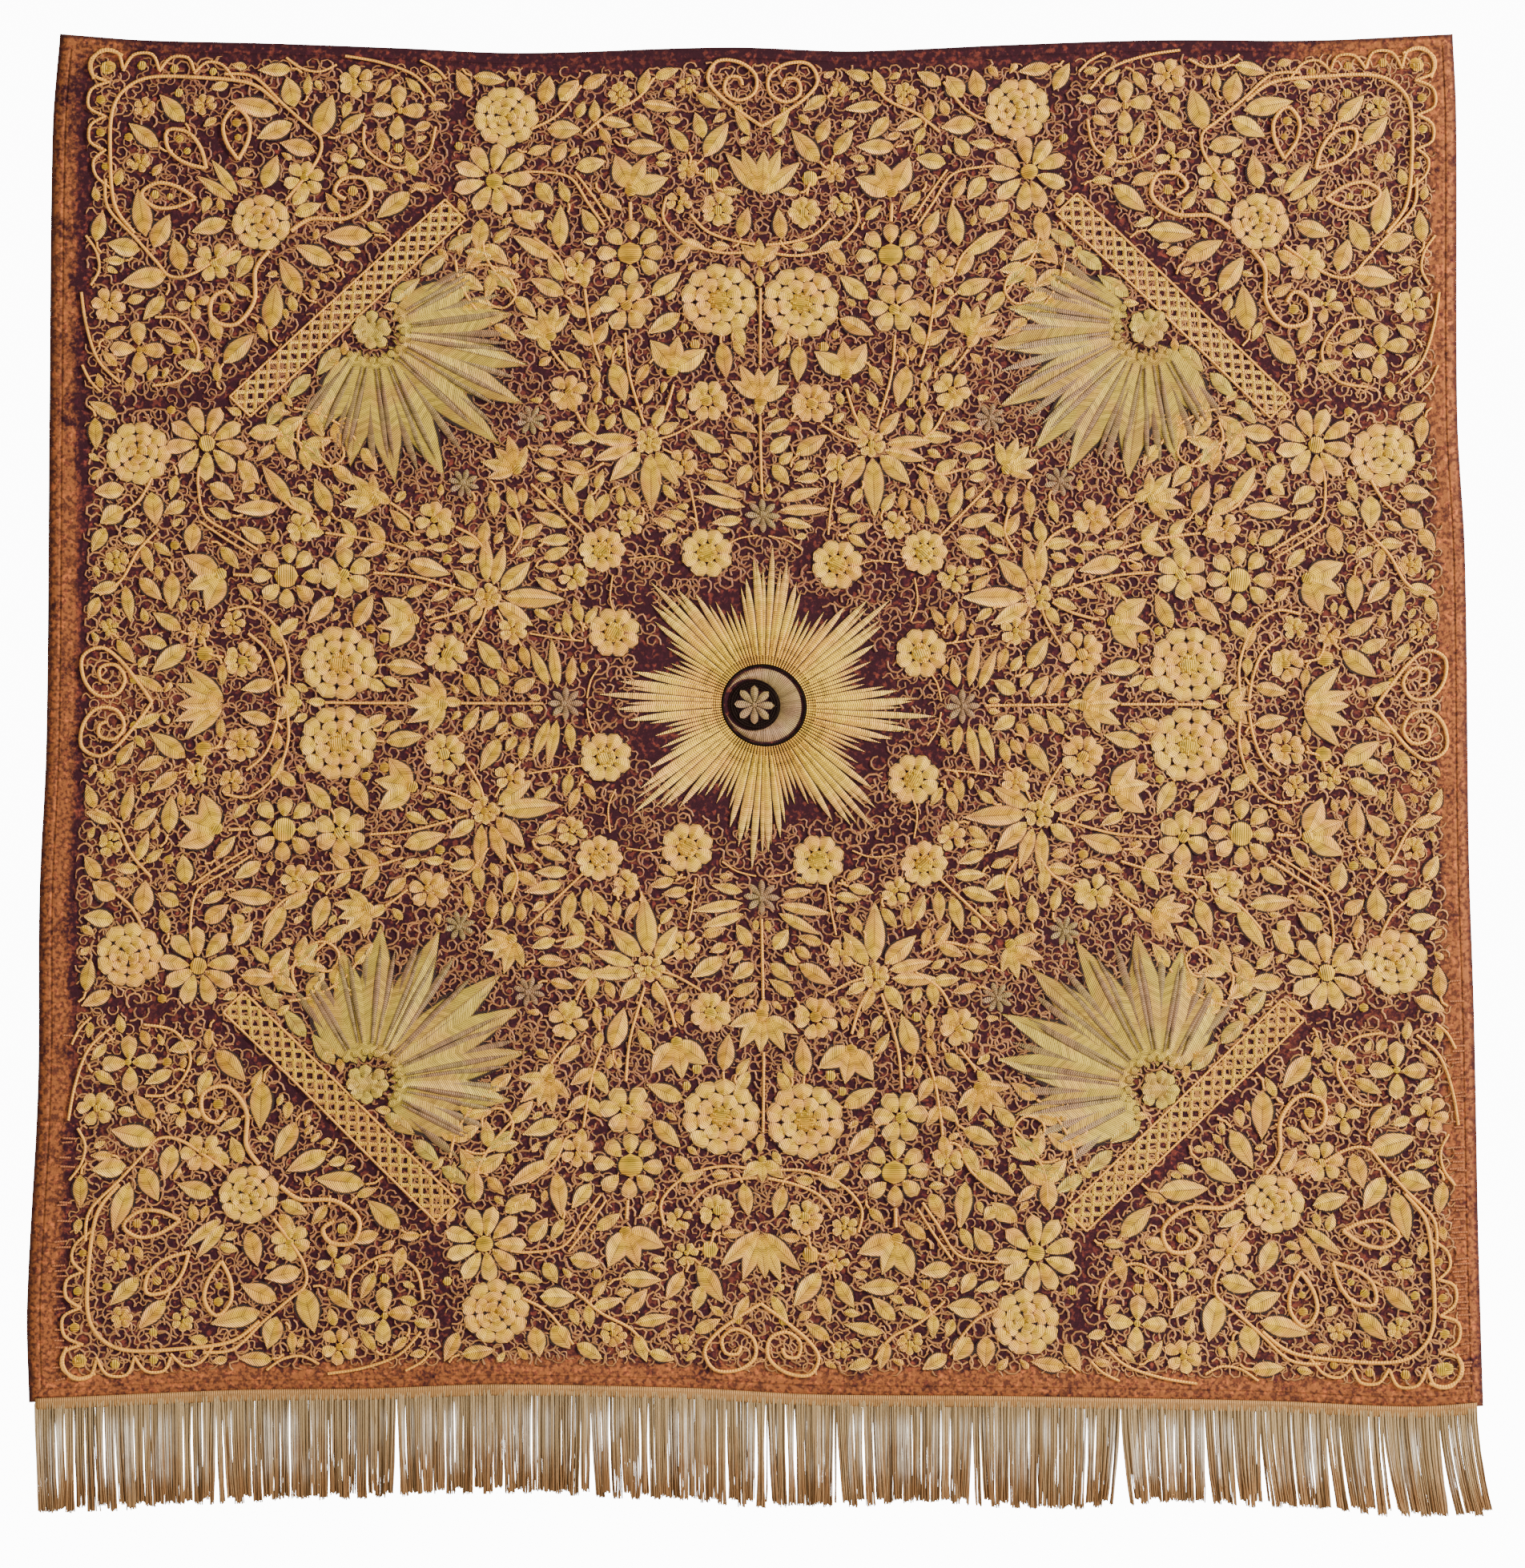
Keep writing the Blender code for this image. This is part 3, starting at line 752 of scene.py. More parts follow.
def ramp(tree, factor, low, high):
    """A smooth step from 0 at low to 1 at high."""
    node = put_node(
        tree,
        "ShaderNodeMapRange",
        [(factor, "Value"), (low, "From Min"), (high, "From Max")],
        interpolation_type="SMOOTHSTEP",
    )
    return node.outputs["Result"]


def noise(tree, vector, scale, detail=3.0, roughness=0.55):
    return put_node(
        tree,
        "ShaderNodeTexNoise",
        [(vector, "Vector"), (scale, "Scale"), (detail, "Detail"), (roughness, "Roughness")],
    ).outputs["Fac"]


def new_group(name, inputs, outputs):
    """An empty shader node group. inputs are (name, socket type, default), outputs (name, socket type)."""
    group = bpy.data.node_groups.new(name, "ShaderNodeTree")
    for label, kind, default in inputs:
        socket = group.interface.new_socket(name=label, in_out="INPUT", socket_type=kind)
        if default is not None:
            socket.default_value = default
    for label, kind in outputs:
        group.interface.new_socket(name=label, in_out="OUTPUT", socket_type=kind)
    return group


def laid_thread_group():
    """Threads laid side by side from a motif's middle line to its edges, as a height and a shade."""
    group = bpy.data.node_groups.get("laid threads")
    if group:
        return group
    group = new_group(
        "laid threads",
        [
            ("Thread map", "NodeSocketVector", None),
            ("Spacing", "NodeSocketFloat", 0.0009),
            ("Slant", "NodeSocketFloat", 0.6),
        ],
        [("Height", "NodeSocketFloat"), ("Shade", "NodeSocketFloat")],
    )
    given = group.nodes.new("NodeGroupInput").outputs
    split = put_node(group, "ShaderNodeSeparateXYZ", [(given["Thread map"], 0)])
    aside = math_node(group, "ABSOLUTE", split.outputs["Y"])
    slanted = math_node(group, "MULTIPLY", aside, given["Slant"])
    along = math_node(group, "ADD", split.outputs["X"], slanted)
    turns = math_node(group, "DIVIDE", along, given["Spacing"])
    wave = math_node(group, "SINE", math_node(group, "MULTIPLY", turns, math.tau))
    height = math_node(group, "MULTIPLY_ADD", wave, 0.5, 0.5)
    number = math_node(group, "FLOOR", math_node(group, "MULTIPLY", turns, 0.5))
    each = put_node(
        group, "ShaderNodeTexWhiteNoise", [(number, "W")], noise_dimensions="1D"
    ).outputs["Value"]
    shade = math_node(group, "MULTIPLY_ADD", each, 0.55, math_node(group, "MULTIPLY", height, 0.45))
    put_node(group, "NodeGroupOutput", [(height, "Height"), (shade, "Shade")])
    return group


def tarnish_group():
    """Blotches of dulled metal or worn pile, from 0, sound, to 1, gone."""
    group = bpy.data.node_groups.get("tarnish")
    if group:
        return group
    group = new_group(
        "tarnish",
        [
            ("Place", "NodeSocketVector", None),
            ("Scale", "NodeSocketFloat", 40.0),
            ("Amount", "NodeSocketFloat", 0.5),
        ],
        [("Mask", "NodeSocketFloat")],
    )
    given = group.nodes.new("NodeGroupInput").outputs
    broad = noise(group, given["Place"], given["Scale"])
    fine = noise(group, given["Place"], math_node(group, "MULTIPLY", given["Scale"], 9.0))
    both = math_node(group, "MULTIPLY_ADD", fine, 0.4, math_node(group, "MULTIPLY", broad, 0.6))
    start = math_node(group, "SUBTRACT", 0.68, math_node(group, "MULTIPLY", given["Amount"], 0.36))
    mask = ramp(group, both, start, math_node(group, "ADD", start, 0.16))
    put_node(group, "NodeGroupOutput", [(mask, "Mask")])
    return group


def use_group(tree, group, links):
    node = tree.nodes.new("ShaderNodeGroup")
    node.node_tree = group
    for value, target in links:
        if hasattr(value, "is_linked"):
            tree.links.new(value, node.inputs[target])
        else:
            node.inputs[target].default_value = value
    return node


def new_material(name, roughness, metallic, sheen=0.0):
    """A material with its Principled shader, and the constants on the shader's own sockets."""
    made = bpy.data.materials.new(name)
    made.use_nodes = True
    shader = made.node_tree.nodes["Principled BSDF"]
    shader.inputs["Roughness"].default_value = roughness
    shader.inputs["Metallic"].default_value = metallic
    shader.inputs["Sheen Weight"].default_value = sheen
    return made, made.node_tree, shader


def attribute(tree, name):
    return put_node(tree, "ShaderNodeAttribute", attribute_name=name)


def with_bump(tree, shader, height, distance, strength=1.0):
    bump = put_node(
        tree, "ShaderNodeBump", [(height, "Height"), (distance, "Distance"), (strength, "Strength")]
    )
    tree.links.new(bump.outputs["Normal"], shader.inputs["Normal"])


def opaque(colour):
    return (*colour, 1.0)


def darker(colour, share):
    return (*(channel * share for channel in colour), 1.0)


def satin_material(name, middle, edge, slant, metallic=0.14, roughness=0.46):
    """Metal thread laid over a raised motif: bright in its middle, paler at its rim and tip, dulled in blotches. The
    paler rim is partly the thread's own tone and partly a painted highlight; painted shade lies between the laid
    threads and along a leaf's middle line, and a painted shadow runs round the motif's edge.
    """
    threads = bpy.context.scene.hanging_threads
    made, tree, shader = new_material(name, roughness, metallic)
    place = tree.nodes.new("ShaderNodeTexCoord").outputs["Object"]
    thread_map = put_node(tree, "ShaderNodeUVMap", uv_map="thread").outputs[0]
    laid = use_group(
        tree, laid_thread_group(), [(thread_map, 0), (threads.spacing, "Spacing"), (slant, "Slant")]
    )
    from_middle = attribute(tree, "rim").outputs["Fac"]
    # Painted highlight: the colour pales to the edge colour towards the rim and the tip, partly the thread's own tone
    # and partly a painted highlight.
    tipward = ramp(tree, attribute(tree, "tipward").outputs["Fac"], 0.35, 0.95)
    rim = math_node(tree, "MAXIMUM", ramp(tree, from_middle, 0.10, 0.6), tipward)
    # Painted shadow: at its outermost flange the thread turns nearly black, rougher and not metallic, for the shade
    # that falls between motifs.
    painted_outline_shadow = ramp(tree, from_middle, 0.64, 0.80)
    # Painted shade along the groove of a leaf's middle line.
    midrib_shade = ramp(tree, attribute(tree, "midrib_shade").outputs["Fac"], 0.72, 0.95)
    tone = attribute(tree, "tone").outputs["Fac"]
    worn = use_group(tree, tarnish_group(), [(place, 0), (60.0, "Scale"), (0.45, "Amount")]).outputs[0]
    colour = mix_colour(tree, rim, opaque(middle), opaque(edge))
    patina = ramp(tree, noise(tree, place, 34.0, 2.0), 0.42, 0.60)
    reddened = mix_colour(tree, 1.0, colour, (0.98, 0.82, 1.10, 1), "MULTIPLY")
    colour = mix_colour(tree, patina, colour, reddened)
    dull = mix_colour(tree, 1.0, colour, (0.58, 0.48, 0.42, 1), "MULTIPLY")
    colour = mix_colour(tree, math_node(tree, "MULTIPLY", worn, 0.45), colour, dull)
    colour = mix_colour(tree, math_node(tree, "SUBTRACT", 1.0, tone), colour, dull)
    # Painted shade in the grooves between the laid threads; each thread is also a little lighter or darker at random.
    grooves = math_node(tree, "MULTIPLY_ADD", laid.outputs["Shade"], 0.76, 0.50)
    shaded = put_node(tree, "ShaderNodeCombineXYZ", [(grooves, 0), (grooves, 1), (grooves, 2)]).outputs[0]
    colour = mix_colour(tree, 1.0, colour, shaded, "MULTIPLY")
    colour = mix_colour(tree, math_node(tree, "MULTIPLY", midrib_shade, 0.6), colour, (0.16, 0.065, 0.022, 1))
    # The nearly black painted shadow round the motif's edge.
    colour = mix_colour(tree, painted_outline_shadow, colour, (0.026, 0.009, 0.007, 1))
    tree.links.new(colour, shader.inputs["Base Color"])
    rough = math_node(tree, "MULTIPLY_ADD", worn, 0.2, roughness)
    rough = math_node(tree, "MULTIPLY_ADD", painted_outline_shadow, 0.5, rough)
    tree.links.new(rough, shader.inputs["Roughness"])
    metal = math_node(tree, "MULTIPLY", math_node(tree, "SUBTRACT", 1.0, painted_outline_shadow), metallic)
    tree.links.new(metal, shader.inputs["Metallic"])
    with_bump(tree, shader, laid.outputs["Height"], 0.0008)
    return made


def cord_material(name, colour, twist=0.0021, metallic=0.2, roughness=0.5):
    """A twisted cord, its turns running round it, with painted shade in the grooves between the turns."""
    made, tree, shader = new_material(name, roughness, metallic)
    shader.inputs["Specular IOR Level"].default_value = 0.5 * (1 - roughness)
    place = tree.nodes.new("ShaderNodeTexCoord").outputs["Object"]
    thread_map = put_node(tree, "ShaderNodeUVMap", uv_map="thread").outputs[0]
    split = put_node(tree, "ShaderNodeSeparateXYZ", [(thread_map, 0)])
    turns = math_node(tree, "DIVIDE", split.outputs["X"], twist)
    turns = math_node(tree, "ADD", turns, split.outputs["Y"])
    wave = math_node(tree, "SINE", math_node(tree, "MULTIPLY", turns, math.tau))
    height = math_node(tree, "MULTIPLY_ADD", wave, 0.5, 0.5)
    worn = use_group(tree, tarnish_group(), [(place, 0), (75.0, "Scale"), (0.5, "Amount")]).outputs[0]
    tone = attribute(tree, "tone").outputs["Fac"]
    dull = darker(colour, 0.52)
    tint = mix_colour(tree, worn, opaque(colour), dull)
    tint = mix_colour(tree, math_node(tree, "SUBTRACT", 1.0, tone), tint, dull)
    # Painted shade: darker in the grooves between the turns of the twist.
    tint = mix_colour(tree, math_node(tree, "MULTIPLY", height, 0.35), darker(colour, 0.55), tint)
    tint = mix_colour(tree, 0.65, tint, mix_colour(tree, worn, opaque(colour), dull))
    tree.links.new(tint, shader.inputs["Base Color"])
    with_bump(tree, shader, height, 0.0003)
    return made


def filling_material():
    """Fine thread, with painted shade along its sides where it meets the ground, and duller here and there."""
    filling = bpy.context.scene.hanging_filling
    made, tree, shader = new_material("filling_thread", 0.5, 0.3)
    place = tree.nodes.new("ShaderNodeTexCoord").outputs["Object"]
    rim = ramp(tree, attribute(tree, "rim").outputs["Fac"], 0.35, 0.95)
    tone = attribute(tree, "tone").outputs["Fac"]
    worn = use_group(tree, tarnish_group(), [(place, 0), (90.0, "Scale"), (0.5, "Amount")]).outputs[0]
    twist = noise(tree, place, 900.0, 2.0)
    wear = ramp(tree, attribute(tree, "wear").outputs["Fac"], 0.12, 0.50)
    patch = ramp(tree, noise(tree, place, 16.0), 0.35, 0.62)
    reddish = math_node(tree, "SUBTRACT", 1.0, math_node(tree, "MULTIPLY_ADD", wear, 0.6, math_node(tree, "MULTIPLY", patch, 0.4)))
    bright = mix_colour(tree, reddish, opaque(filling.colour), opaque(filling.reddish))
    colour = mix_colour(tree, tone, darker(filling.colour, 0.40), bright)
    colour = mix_colour(tree, math_node(tree, "MULTIPLY", worn, 0.4), colour, darker(filling.colour, 0.35))
    # Painted shade along the thread's sides, where it meets the ground.
    colour = mix_colour(tree, math_node(tree, "MULTIPLY", rim, 0.85), colour, (0.05, 0.017, 0.012, 1))
    tree.links.new(colour, shader.inputs["Base Color"])
    with_bump(tree, shader, twist, 0.0003)
    return made


def velvet_material():
    """Silk velvet: dark where the pile stands, copper brown where it is worn, with a turned hem."""
    cloth = bpy.context.scene.hanging_cloth
    made, tree, shader = new_material("velvet", 0.9, 0.0, sheen=0.05)
    shader.inputs["Sheen Roughness"].default_value = 0.4
    shader.inputs["Sheen Tint"].default_value = (0.75, 0.38, 0.36, 1)
    shader.inputs["Specular IOR Level"].default_value = 0.12
    place = tree.nodes.new("ShaderNodeTexCoord").outputs["Object"]
    wear = attribute(tree, "wear").outputs["Fac"]
    blotches = use_group(tree, tarnish_group(), [(place, 0), (34.0, "Scale"), (wear, "Amount")]).outputs[0]
    rubbed = math_node(tree, "MULTIPLY", blotches, ramp(tree, wear, 0.05, 0.8))
    speckle = ramp(tree, noise(tree, place, 330.0, 2.0), 0.36, 0.60)
    rubbed = math_node(tree, "MULTIPLY", rubbed, math_node(tree, "MULTIPLY_ADD", speckle, 0.75, 0.25))
    glints = math_node(tree, "MULTIPLY", ramp(tree, noise(tree, place, 240.0, 2.0), 0.52, 0.66), 0.45)
    rubbed = math_node(tree, "MAXIMUM", rubbed, glints)
    fibre = noise(tree, place, 900.0, 2.0)
    tuft = noise(tree, place, 260.0, 3.0)
    bare = mix_colour(tree, ramp(tree, wear, 0.40, 0.85), opaque(cloth.pile_rubbed), opaque(cloth.pile_worn))
    colour = mix_colour(tree, rubbed, opaque(cloth.pile_dark), bare)
    lit = mix_colour(tree, 1.0, colour, (1.9, 1.6, 1.5, 1), "MULTIPLY")
    colour = mix_colour(tree, ramp(tree, tuft, 0.5, 0.72), colour, lit)
    sewn = put_node(tree, "ShaderNodeUVMap", uv_map="cloth").outputs[0]
    split = put_node(tree, "ShaderNodeSeparateXYZ", [(sewn, 0)])
    near = math_node(tree, "MINIMUM", split.outputs["X"], split.outputs["Y"])
    near_far = math_node(
        tree,
        "MINIMUM",
        math_node(tree, "SUBTRACT", CLOTH_WIDTH, split.outputs["X"]),
        math_node(tree, "SUBTRACT", CLOTH_HEIGHT, split.outputs["Y"]),
    )
    edge = math_node(tree, "MINIMUM", near, near_far)
    seam = math_node(tree, "ABSOLUTE", math_node(tree, "SUBTRACT", edge, HEM))
    groove = ramp(tree, seam, 0.0, 0.0016)
    turned = math_node(tree, "SUBTRACT", 1.0, ramp(tree, edge, 0.001, 0.004))
    colour = mix_colour(tree, math_node(tree, "MULTIPLY", turned, 0.7), colour, opaque(cloth.pile_dark))
    tree.links.new(colour, shader.inputs["Base Color"])
    pile = math_node(tree, "MULTIPLY_ADD", fibre, 0.5, math_node(tree, "MULTIPLY", tuft, 0.8))
    pile = math_node(tree, "MULTIPLY_ADD", groove, 1.6, pile)
    with_bump(tree, shader, pile, 0.0005)
    return made


def backing_material():
    """The velvet's woven back, with the pile side showing where the hem is turned over."""
    cloth = bpy.context.scene.hanging_cloth
    made, tree, shader = new_material("velvet_back", 0.9, 0.0)
    shader.inputs["Specular IOR Level"].default_value = 0.15
    sewn = put_node(tree, "ShaderNodeUVMap", uv_map="cloth").outputs[0]
    split = put_node(tree, "ShaderNodeSeparateXYZ", [(sewn, 0)]).outputs
    warp = math_node(tree, "SINE", math_node(tree, "MULTIPLY", split["X"], math.tau / cloth.yarn))
    weft = math_node(tree, "SINE", math_node(tree, "MULTIPLY", split["Y"], math.tau / cloth.yarn))
    weave = math_node(tree, "MULTIPLY_ADD", math_node(tree, "MULTIPLY", warp, weft), 0.5, 0.5)
    slub = noise(tree, sewn, 140.0, 3.0)
    dusty = ramp(tree, noise(tree, sewn, 9.0, 4.0), 0.36, 0.66)
    light = math_node(tree, "MULTIPLY_ADD", weave, 0.5, math_node(tree, "MULTIPLY", slub, 0.7))
    shown = math_node(tree, "MULTIPLY", light, math_node(tree, "MULTIPLY_ADD", dusty, 0.6, 0.4))
    colour = mix_colour(tree, shown, darker(cloth.back, 0.35), opaque(cloth.back))
    across = math_node(tree, "MINIMUM", split["X"], math_node(tree, "SUBTRACT", CLOTH_WIDTH, split["X"]))
    down = math_node(tree, "MINIMUM", split["Y"], math_node(tree, "SUBTRACT", CLOTH_HEIGHT, split["Y"]))
    edge = math_node(tree, "MINIMUM", across, down)
    turned = math_node(tree, "SUBTRACT", 1.0, ramp(tree, edge, HEM, HEM + 0.0008))
    pile = mix_colour(tree, ramp(tree, slub, 0.35, 0.7), opaque(cloth.pile_dark), darker(cloth.pile_rubbed, 0.5))
    colour = mix_colour(tree, turned, colour, pile)
    tree.links.new(colour, shader.inputs["Base Color"])
    with_bump(tree, shader, math_node(tree, "MULTIPLY_ADD", turned, 2.0, light), 0.0004)
    return made


def fringe_material():
    """Metal thread on a brown core: it shines along most of its length and is bare and rusty at its tip. Near-white
    streaks along the middle of its fall are partly silver thread and partly a painted highlight.
    """
    fringe = bpy.context.scene.hanging_fringe
    made, tree, shader = new_material("fringe_thread", 0.42, 0.45)
    tone = attribute(tree, "tone").outputs["Fac"]
    fall = attribute(tree, "fall").outputs["Fac"]
    place = tree.nodes.new("ShaderNodeTexCoord").outputs["Object"]
    patch = noise(tree, place, 55.0)
    twist = noise(tree, place, 700.0, 2.0)
    bare = math_node(tree, "MULTIPLY", fall, 0.75)
    bare = math_node(tree, "ADD", bare, math_node(tree, "MULTIPLY", patch, 0.6))
    bare = ramp(tree, math_node(tree, "SUBTRACT", bare, math_node(tree, "MULTIPLY", tone, 0.3)), 0.25, 0.95)
    split = put_node(tree, "ShaderNodeSeparateXYZ", [(place, 0)]).outputs
    streak_place = put_node(
        tree,
        "ShaderNodeCombineXYZ",
        [(math_node(tree, "MULTIPLY", split["X"], 120.0), 0), (math_node(tree, "MULTIPLY", split["Z"], 9.0), 2)],
    ).outputs[0]
    # Near-white streaks along the middle of the fall, partly silver thread and partly a painted highlight.
    streak = ramp(tree, noise(tree, streak_place, 1.0, 2.0), 0.45, 0.58)
    window = math_node(tree, "SUBTRACT", ramp(tree, fall, 0.08, 0.30), ramp(tree, fall, 0.70, 0.92))
    bright = math_node(tree, "MULTIPLY", math_node(tree, "MULTIPLY", streak, ramp(tree, tone, 0.2, 0.6)), window)
    silver_and_highlight = mix_colour(tree, bright, opaque(fringe.pale), opaque(fringe.silver))
    colour = mix_colour(tree, bare, silver_and_highlight, opaque(fringe.rust))
    colour = mix_colour(tree, math_node(tree, "MULTIPLY", twist, 0.5), colour, darker(fringe.rust, 0.45))
    tree.links.new(colour, shader.inputs["Base Color"])
    tree.links.new(math_node(tree, "MULTIPLY_ADD", bare, 0.3, 0.36), shader.inputs["Roughness"])
    with_bump(tree, shader, twist, 0.0002)
    return made


# Geometry Nodes trees


def new_geometry_tree(name, inputs):
    """A Geometry Nodes tree with its named inputs, and its input and output nodes."""
    tree = bpy.data.node_groups.new(name, "GeometryNodeTree")
    tree.interface.new_socket(name="Geometry", in_out="INPUT", socket_type="NodeSocketGeometry")
    for label, kind, default in inputs:
        socket = tree.interface.new_socket(name=label, in_out="INPUT", socket_type=kind)
        if default is not None:
            socket.default_value = default
    tree.interface.new_socket(name="Geometry", in_out="OUTPUT", socket_type="NodeSocketGeometry")
    return tree, tree.nodes.new("NodeGroupInput").outputs, tree.nodes.new("NodeGroupOutput").inputs


def named(tree, name, kind="FLOAT"):
    return put_node(tree, "GeometryNodeInputNamedAttribute", [(name, "Name")], data_type=kind).outputs[0]


def store(tree, geometry, name, value, kind="FLOAT", domain="POINT"):
    node = put_node(
        tree,
        "GeometryNodeStoreNamedAttribute",
        [(geometry, "Geometry"), (name, "Name"), (value, "Value")],
        data_type=kind,
        domain=domain,
    )
    return node.outputs[0]


def finish_tree(tree, geometry, given, result):
    """Adds Realize Instances after a geometry."""
    real = put_node(tree, "GeometryNodeRealizeInstances", [(geometry, "Geometry")]).outputs[0]
    return real


def motif_tree():
    """Sets a motif on each point, turned, sized and toned by the point's attributes."""
    tree = bpy.data.node_groups.get("worked motifs")
    if tree:
        return tree
    tree, given, result = new_geometry_tree(
        "worked motifs",
        [("Motif", "NodeSocketObject", None), ("Thread", "NodeSocketMaterial", None)],
    )
    motif = put_node(tree, "GeometryNodeObjectInfo", [(given["Motif"], "Object")]).outputs["Geometry"]
    turn = put_node(tree, "ShaderNodeCombineXYZ", [(named(tree, "turn"), "Z")]).outputs[0]
    rotation = put_node(tree, "FunctionNodeEulerToRotation", [(turn, 0)]).outputs[0]
    size = named(tree, "size", "FLOAT_VECTOR")
    placed = put_node(
        tree,
        "GeometryNodeInstanceOnPoints",
        [(given["Geometry"], "Points"), (motif, "Instance"), (rotation, "Rotation"), (size, "Scale")],
    ).outputs[0]
    real = put_node(tree, "GeometryNodeRealizeInstances", [(placed, "Geometry")]).outputs[0]
    true_map = put_node(
        tree,
        "ShaderNodeVectorMath",
        [(named(tree, "thread", "FLOAT_VECTOR"), 0), (named(tree, "size", "FLOAT_VECTOR"), 1)],
        operation="MULTIPLY",
    ).outputs[0]
    mapped = store(tree, real, "thread", true_map, "FLOAT2", "CORNER")
    finished = put_node(
        tree, "GeometryNodeSetMaterial", [(mapped, "Geometry"), (given["Thread"], "Material")]
    ).outputs[0]
    tree.links.new(finished, result["Geometry"])
    return tree


def cord_tree():
    """Draws a cord along each path, as thick as its points say."""
    tree = bpy.data.node_groups.get("couched cords")
    if tree:
        return tree
    tree, given, result = new_geometry_tree(
        "couched cords",
        [("Sides", "NodeSocketInt", 5), ("Thread", "NodeSocketMaterial", None)],
    )
    lines = put_node(tree, "GeometryNodeMeshToCurve", [(given["Geometry"], 0)]).outputs[0]
    upright = put_node(tree, "GeometryNodeSetCurveNormal", [(lines, "Curve")])
    if hasattr(upright, "mode"):
        upright.mode = "Z_UP"
    else:
        upright.inputs["Mode"].default_value = "Z Up"
    length = tree.nodes.new("GeometryNodeSplineParameter").outputs["Length"]
    measured = store(tree, upright.outputs[0], "run", length)
    ring = put_node(
        tree, "GeometryNodeCurvePrimitiveCircle", [(given["Sides"], "Resolution"), (0.5, "Radius")]
    ).outputs["Curve"]
    round_share = tree.nodes.new("GeometryNodeSplineParameter").outputs["Factor"]
    ring = store(tree, ring, "girth", round_share)
    tube = put_node(
        tree,
        "GeometryNodeCurveToMesh",
        [
            (measured, "Curve"),
            (ring, "Profile Curve"),
            (named(tree, "thickness"), "Scale"),
            (True, "Fill Caps"),
        ],
    ).outputs[0]
    both = put_node(tree, "ShaderNodeCombineXYZ", [(named(tree, "run"), 0), (named(tree, "girth"), 1)])
    mapped = store(tree, tube, "thread", both.outputs[0], "FLOAT2", "CORNER")
    real = put_node(tree, "GeometryNodeRealizeInstances", [(mapped, "Geometry")]).outputs[0]
    finished = put_node(
        tree, "GeometryNodeSetMaterial", [(real, "Geometry"), (given["Thread"], "Material")]
    ).outputs[0]
    tree.links.new(finished, result["Geometry"])
    return tree


def filling_tree():
    """Strews curls of thread over the ground, turned and sized at random."""
    tree = bpy.data.node_groups.get("scrolled filling")
    if tree:
        return tree
    tree, given, result = new_geometry_tree(
        "scrolled filling",
        [
            ("First curl", "NodeSocketObject", None),
            ("Second curl", "NodeSocketObject", None),
            ("Third curl", "NodeSocketObject", None),
            ("Spacing", "NodeSocketFloat", 0.006),
            ("Curl size", "NodeSocketFloat", 0.01),
            ("Seed", "NodeSocketInt", 7),
            ("Thread", "NodeSocketMaterial", None),
        ],
    )
    strewn = put_node(
        tree,
        "GeometryNodeDistributePointsOnFaces",
        [
            (given["Geometry"], "Mesh"),
            (given["Spacing"], "Distance Min"),
            (60000.0, "Density Max"),
            (named(tree, "filling"), "Density Factor"),
            (given["Seed"], "Seed"),
        ],
        distribute_method="POISSON",
    ).outputs["Points"]
    shapes = tree.nodes.new("GeometryNodeJoinGeometry")
    for label in ("First curl", "Second curl", "Third curl"):
        shape = put_node(tree, "GeometryNodeObjectInfo", [(given[label], "Object"), (True, "As Instance")])
        tree.links.new(shape.outputs["Geometry"], shapes.inputs[0])

    def random_value(kind, low, high, salt):
        node = put_node(tree, "FunctionNodeRandomValue", data_type=kind)
        seed = math_node(tree, "ADD", given["Seed"], float(salt))
        sockets = [s for s in node.inputs if s.enabled and s.name in ("Min", "Max")]
        sockets[0].default_value = low
        sockets[1].default_value = high
        tree.links.new(seed, node.inputs["Seed"])
        return next(s for s in node.outputs if s.enabled)

    toned = store(tree, strewn, "tone", random_value("FLOAT", 0.15, 1.0, 1))
    turn = put_node(tree, "ShaderNodeCombineXYZ", [(random_value("FLOAT", 0.0, math.tau, 2), "Z")]).outputs[0]
    rotation = put_node(tree, "FunctionNodeEulerToRotation", [(turn, 0)]).outputs[0]
    size = math_node(tree, "MULTIPLY", random_value("FLOAT", 0.7, 1.3, 3), given["Curl size"])
    placed = put_node(
        tree,
        "GeometryNodeInstanceOnPoints",
        [
            (toned, "Points"),
            (shapes.outputs[0], "Instance"),
            (True, "Pick Instance"),
            (random_value("INT", 0, 2, 4), "Instance Index"),
            (rotation, "Rotation"),
            (size, "Scale"),
        ],
    ).outputs[0]
    real = put_node(tree, "GeometryNodeRealizeInstances", [(placed, "Geometry")]).outputs[0]
    finished = put_node(
        tree, "GeometryNodeSetMaterial", [(real, "Geometry"), (given["Thread"], "Material")]
    ).outputs[0]
    tree.links.new(finished, result["Geometry"])
    return tree


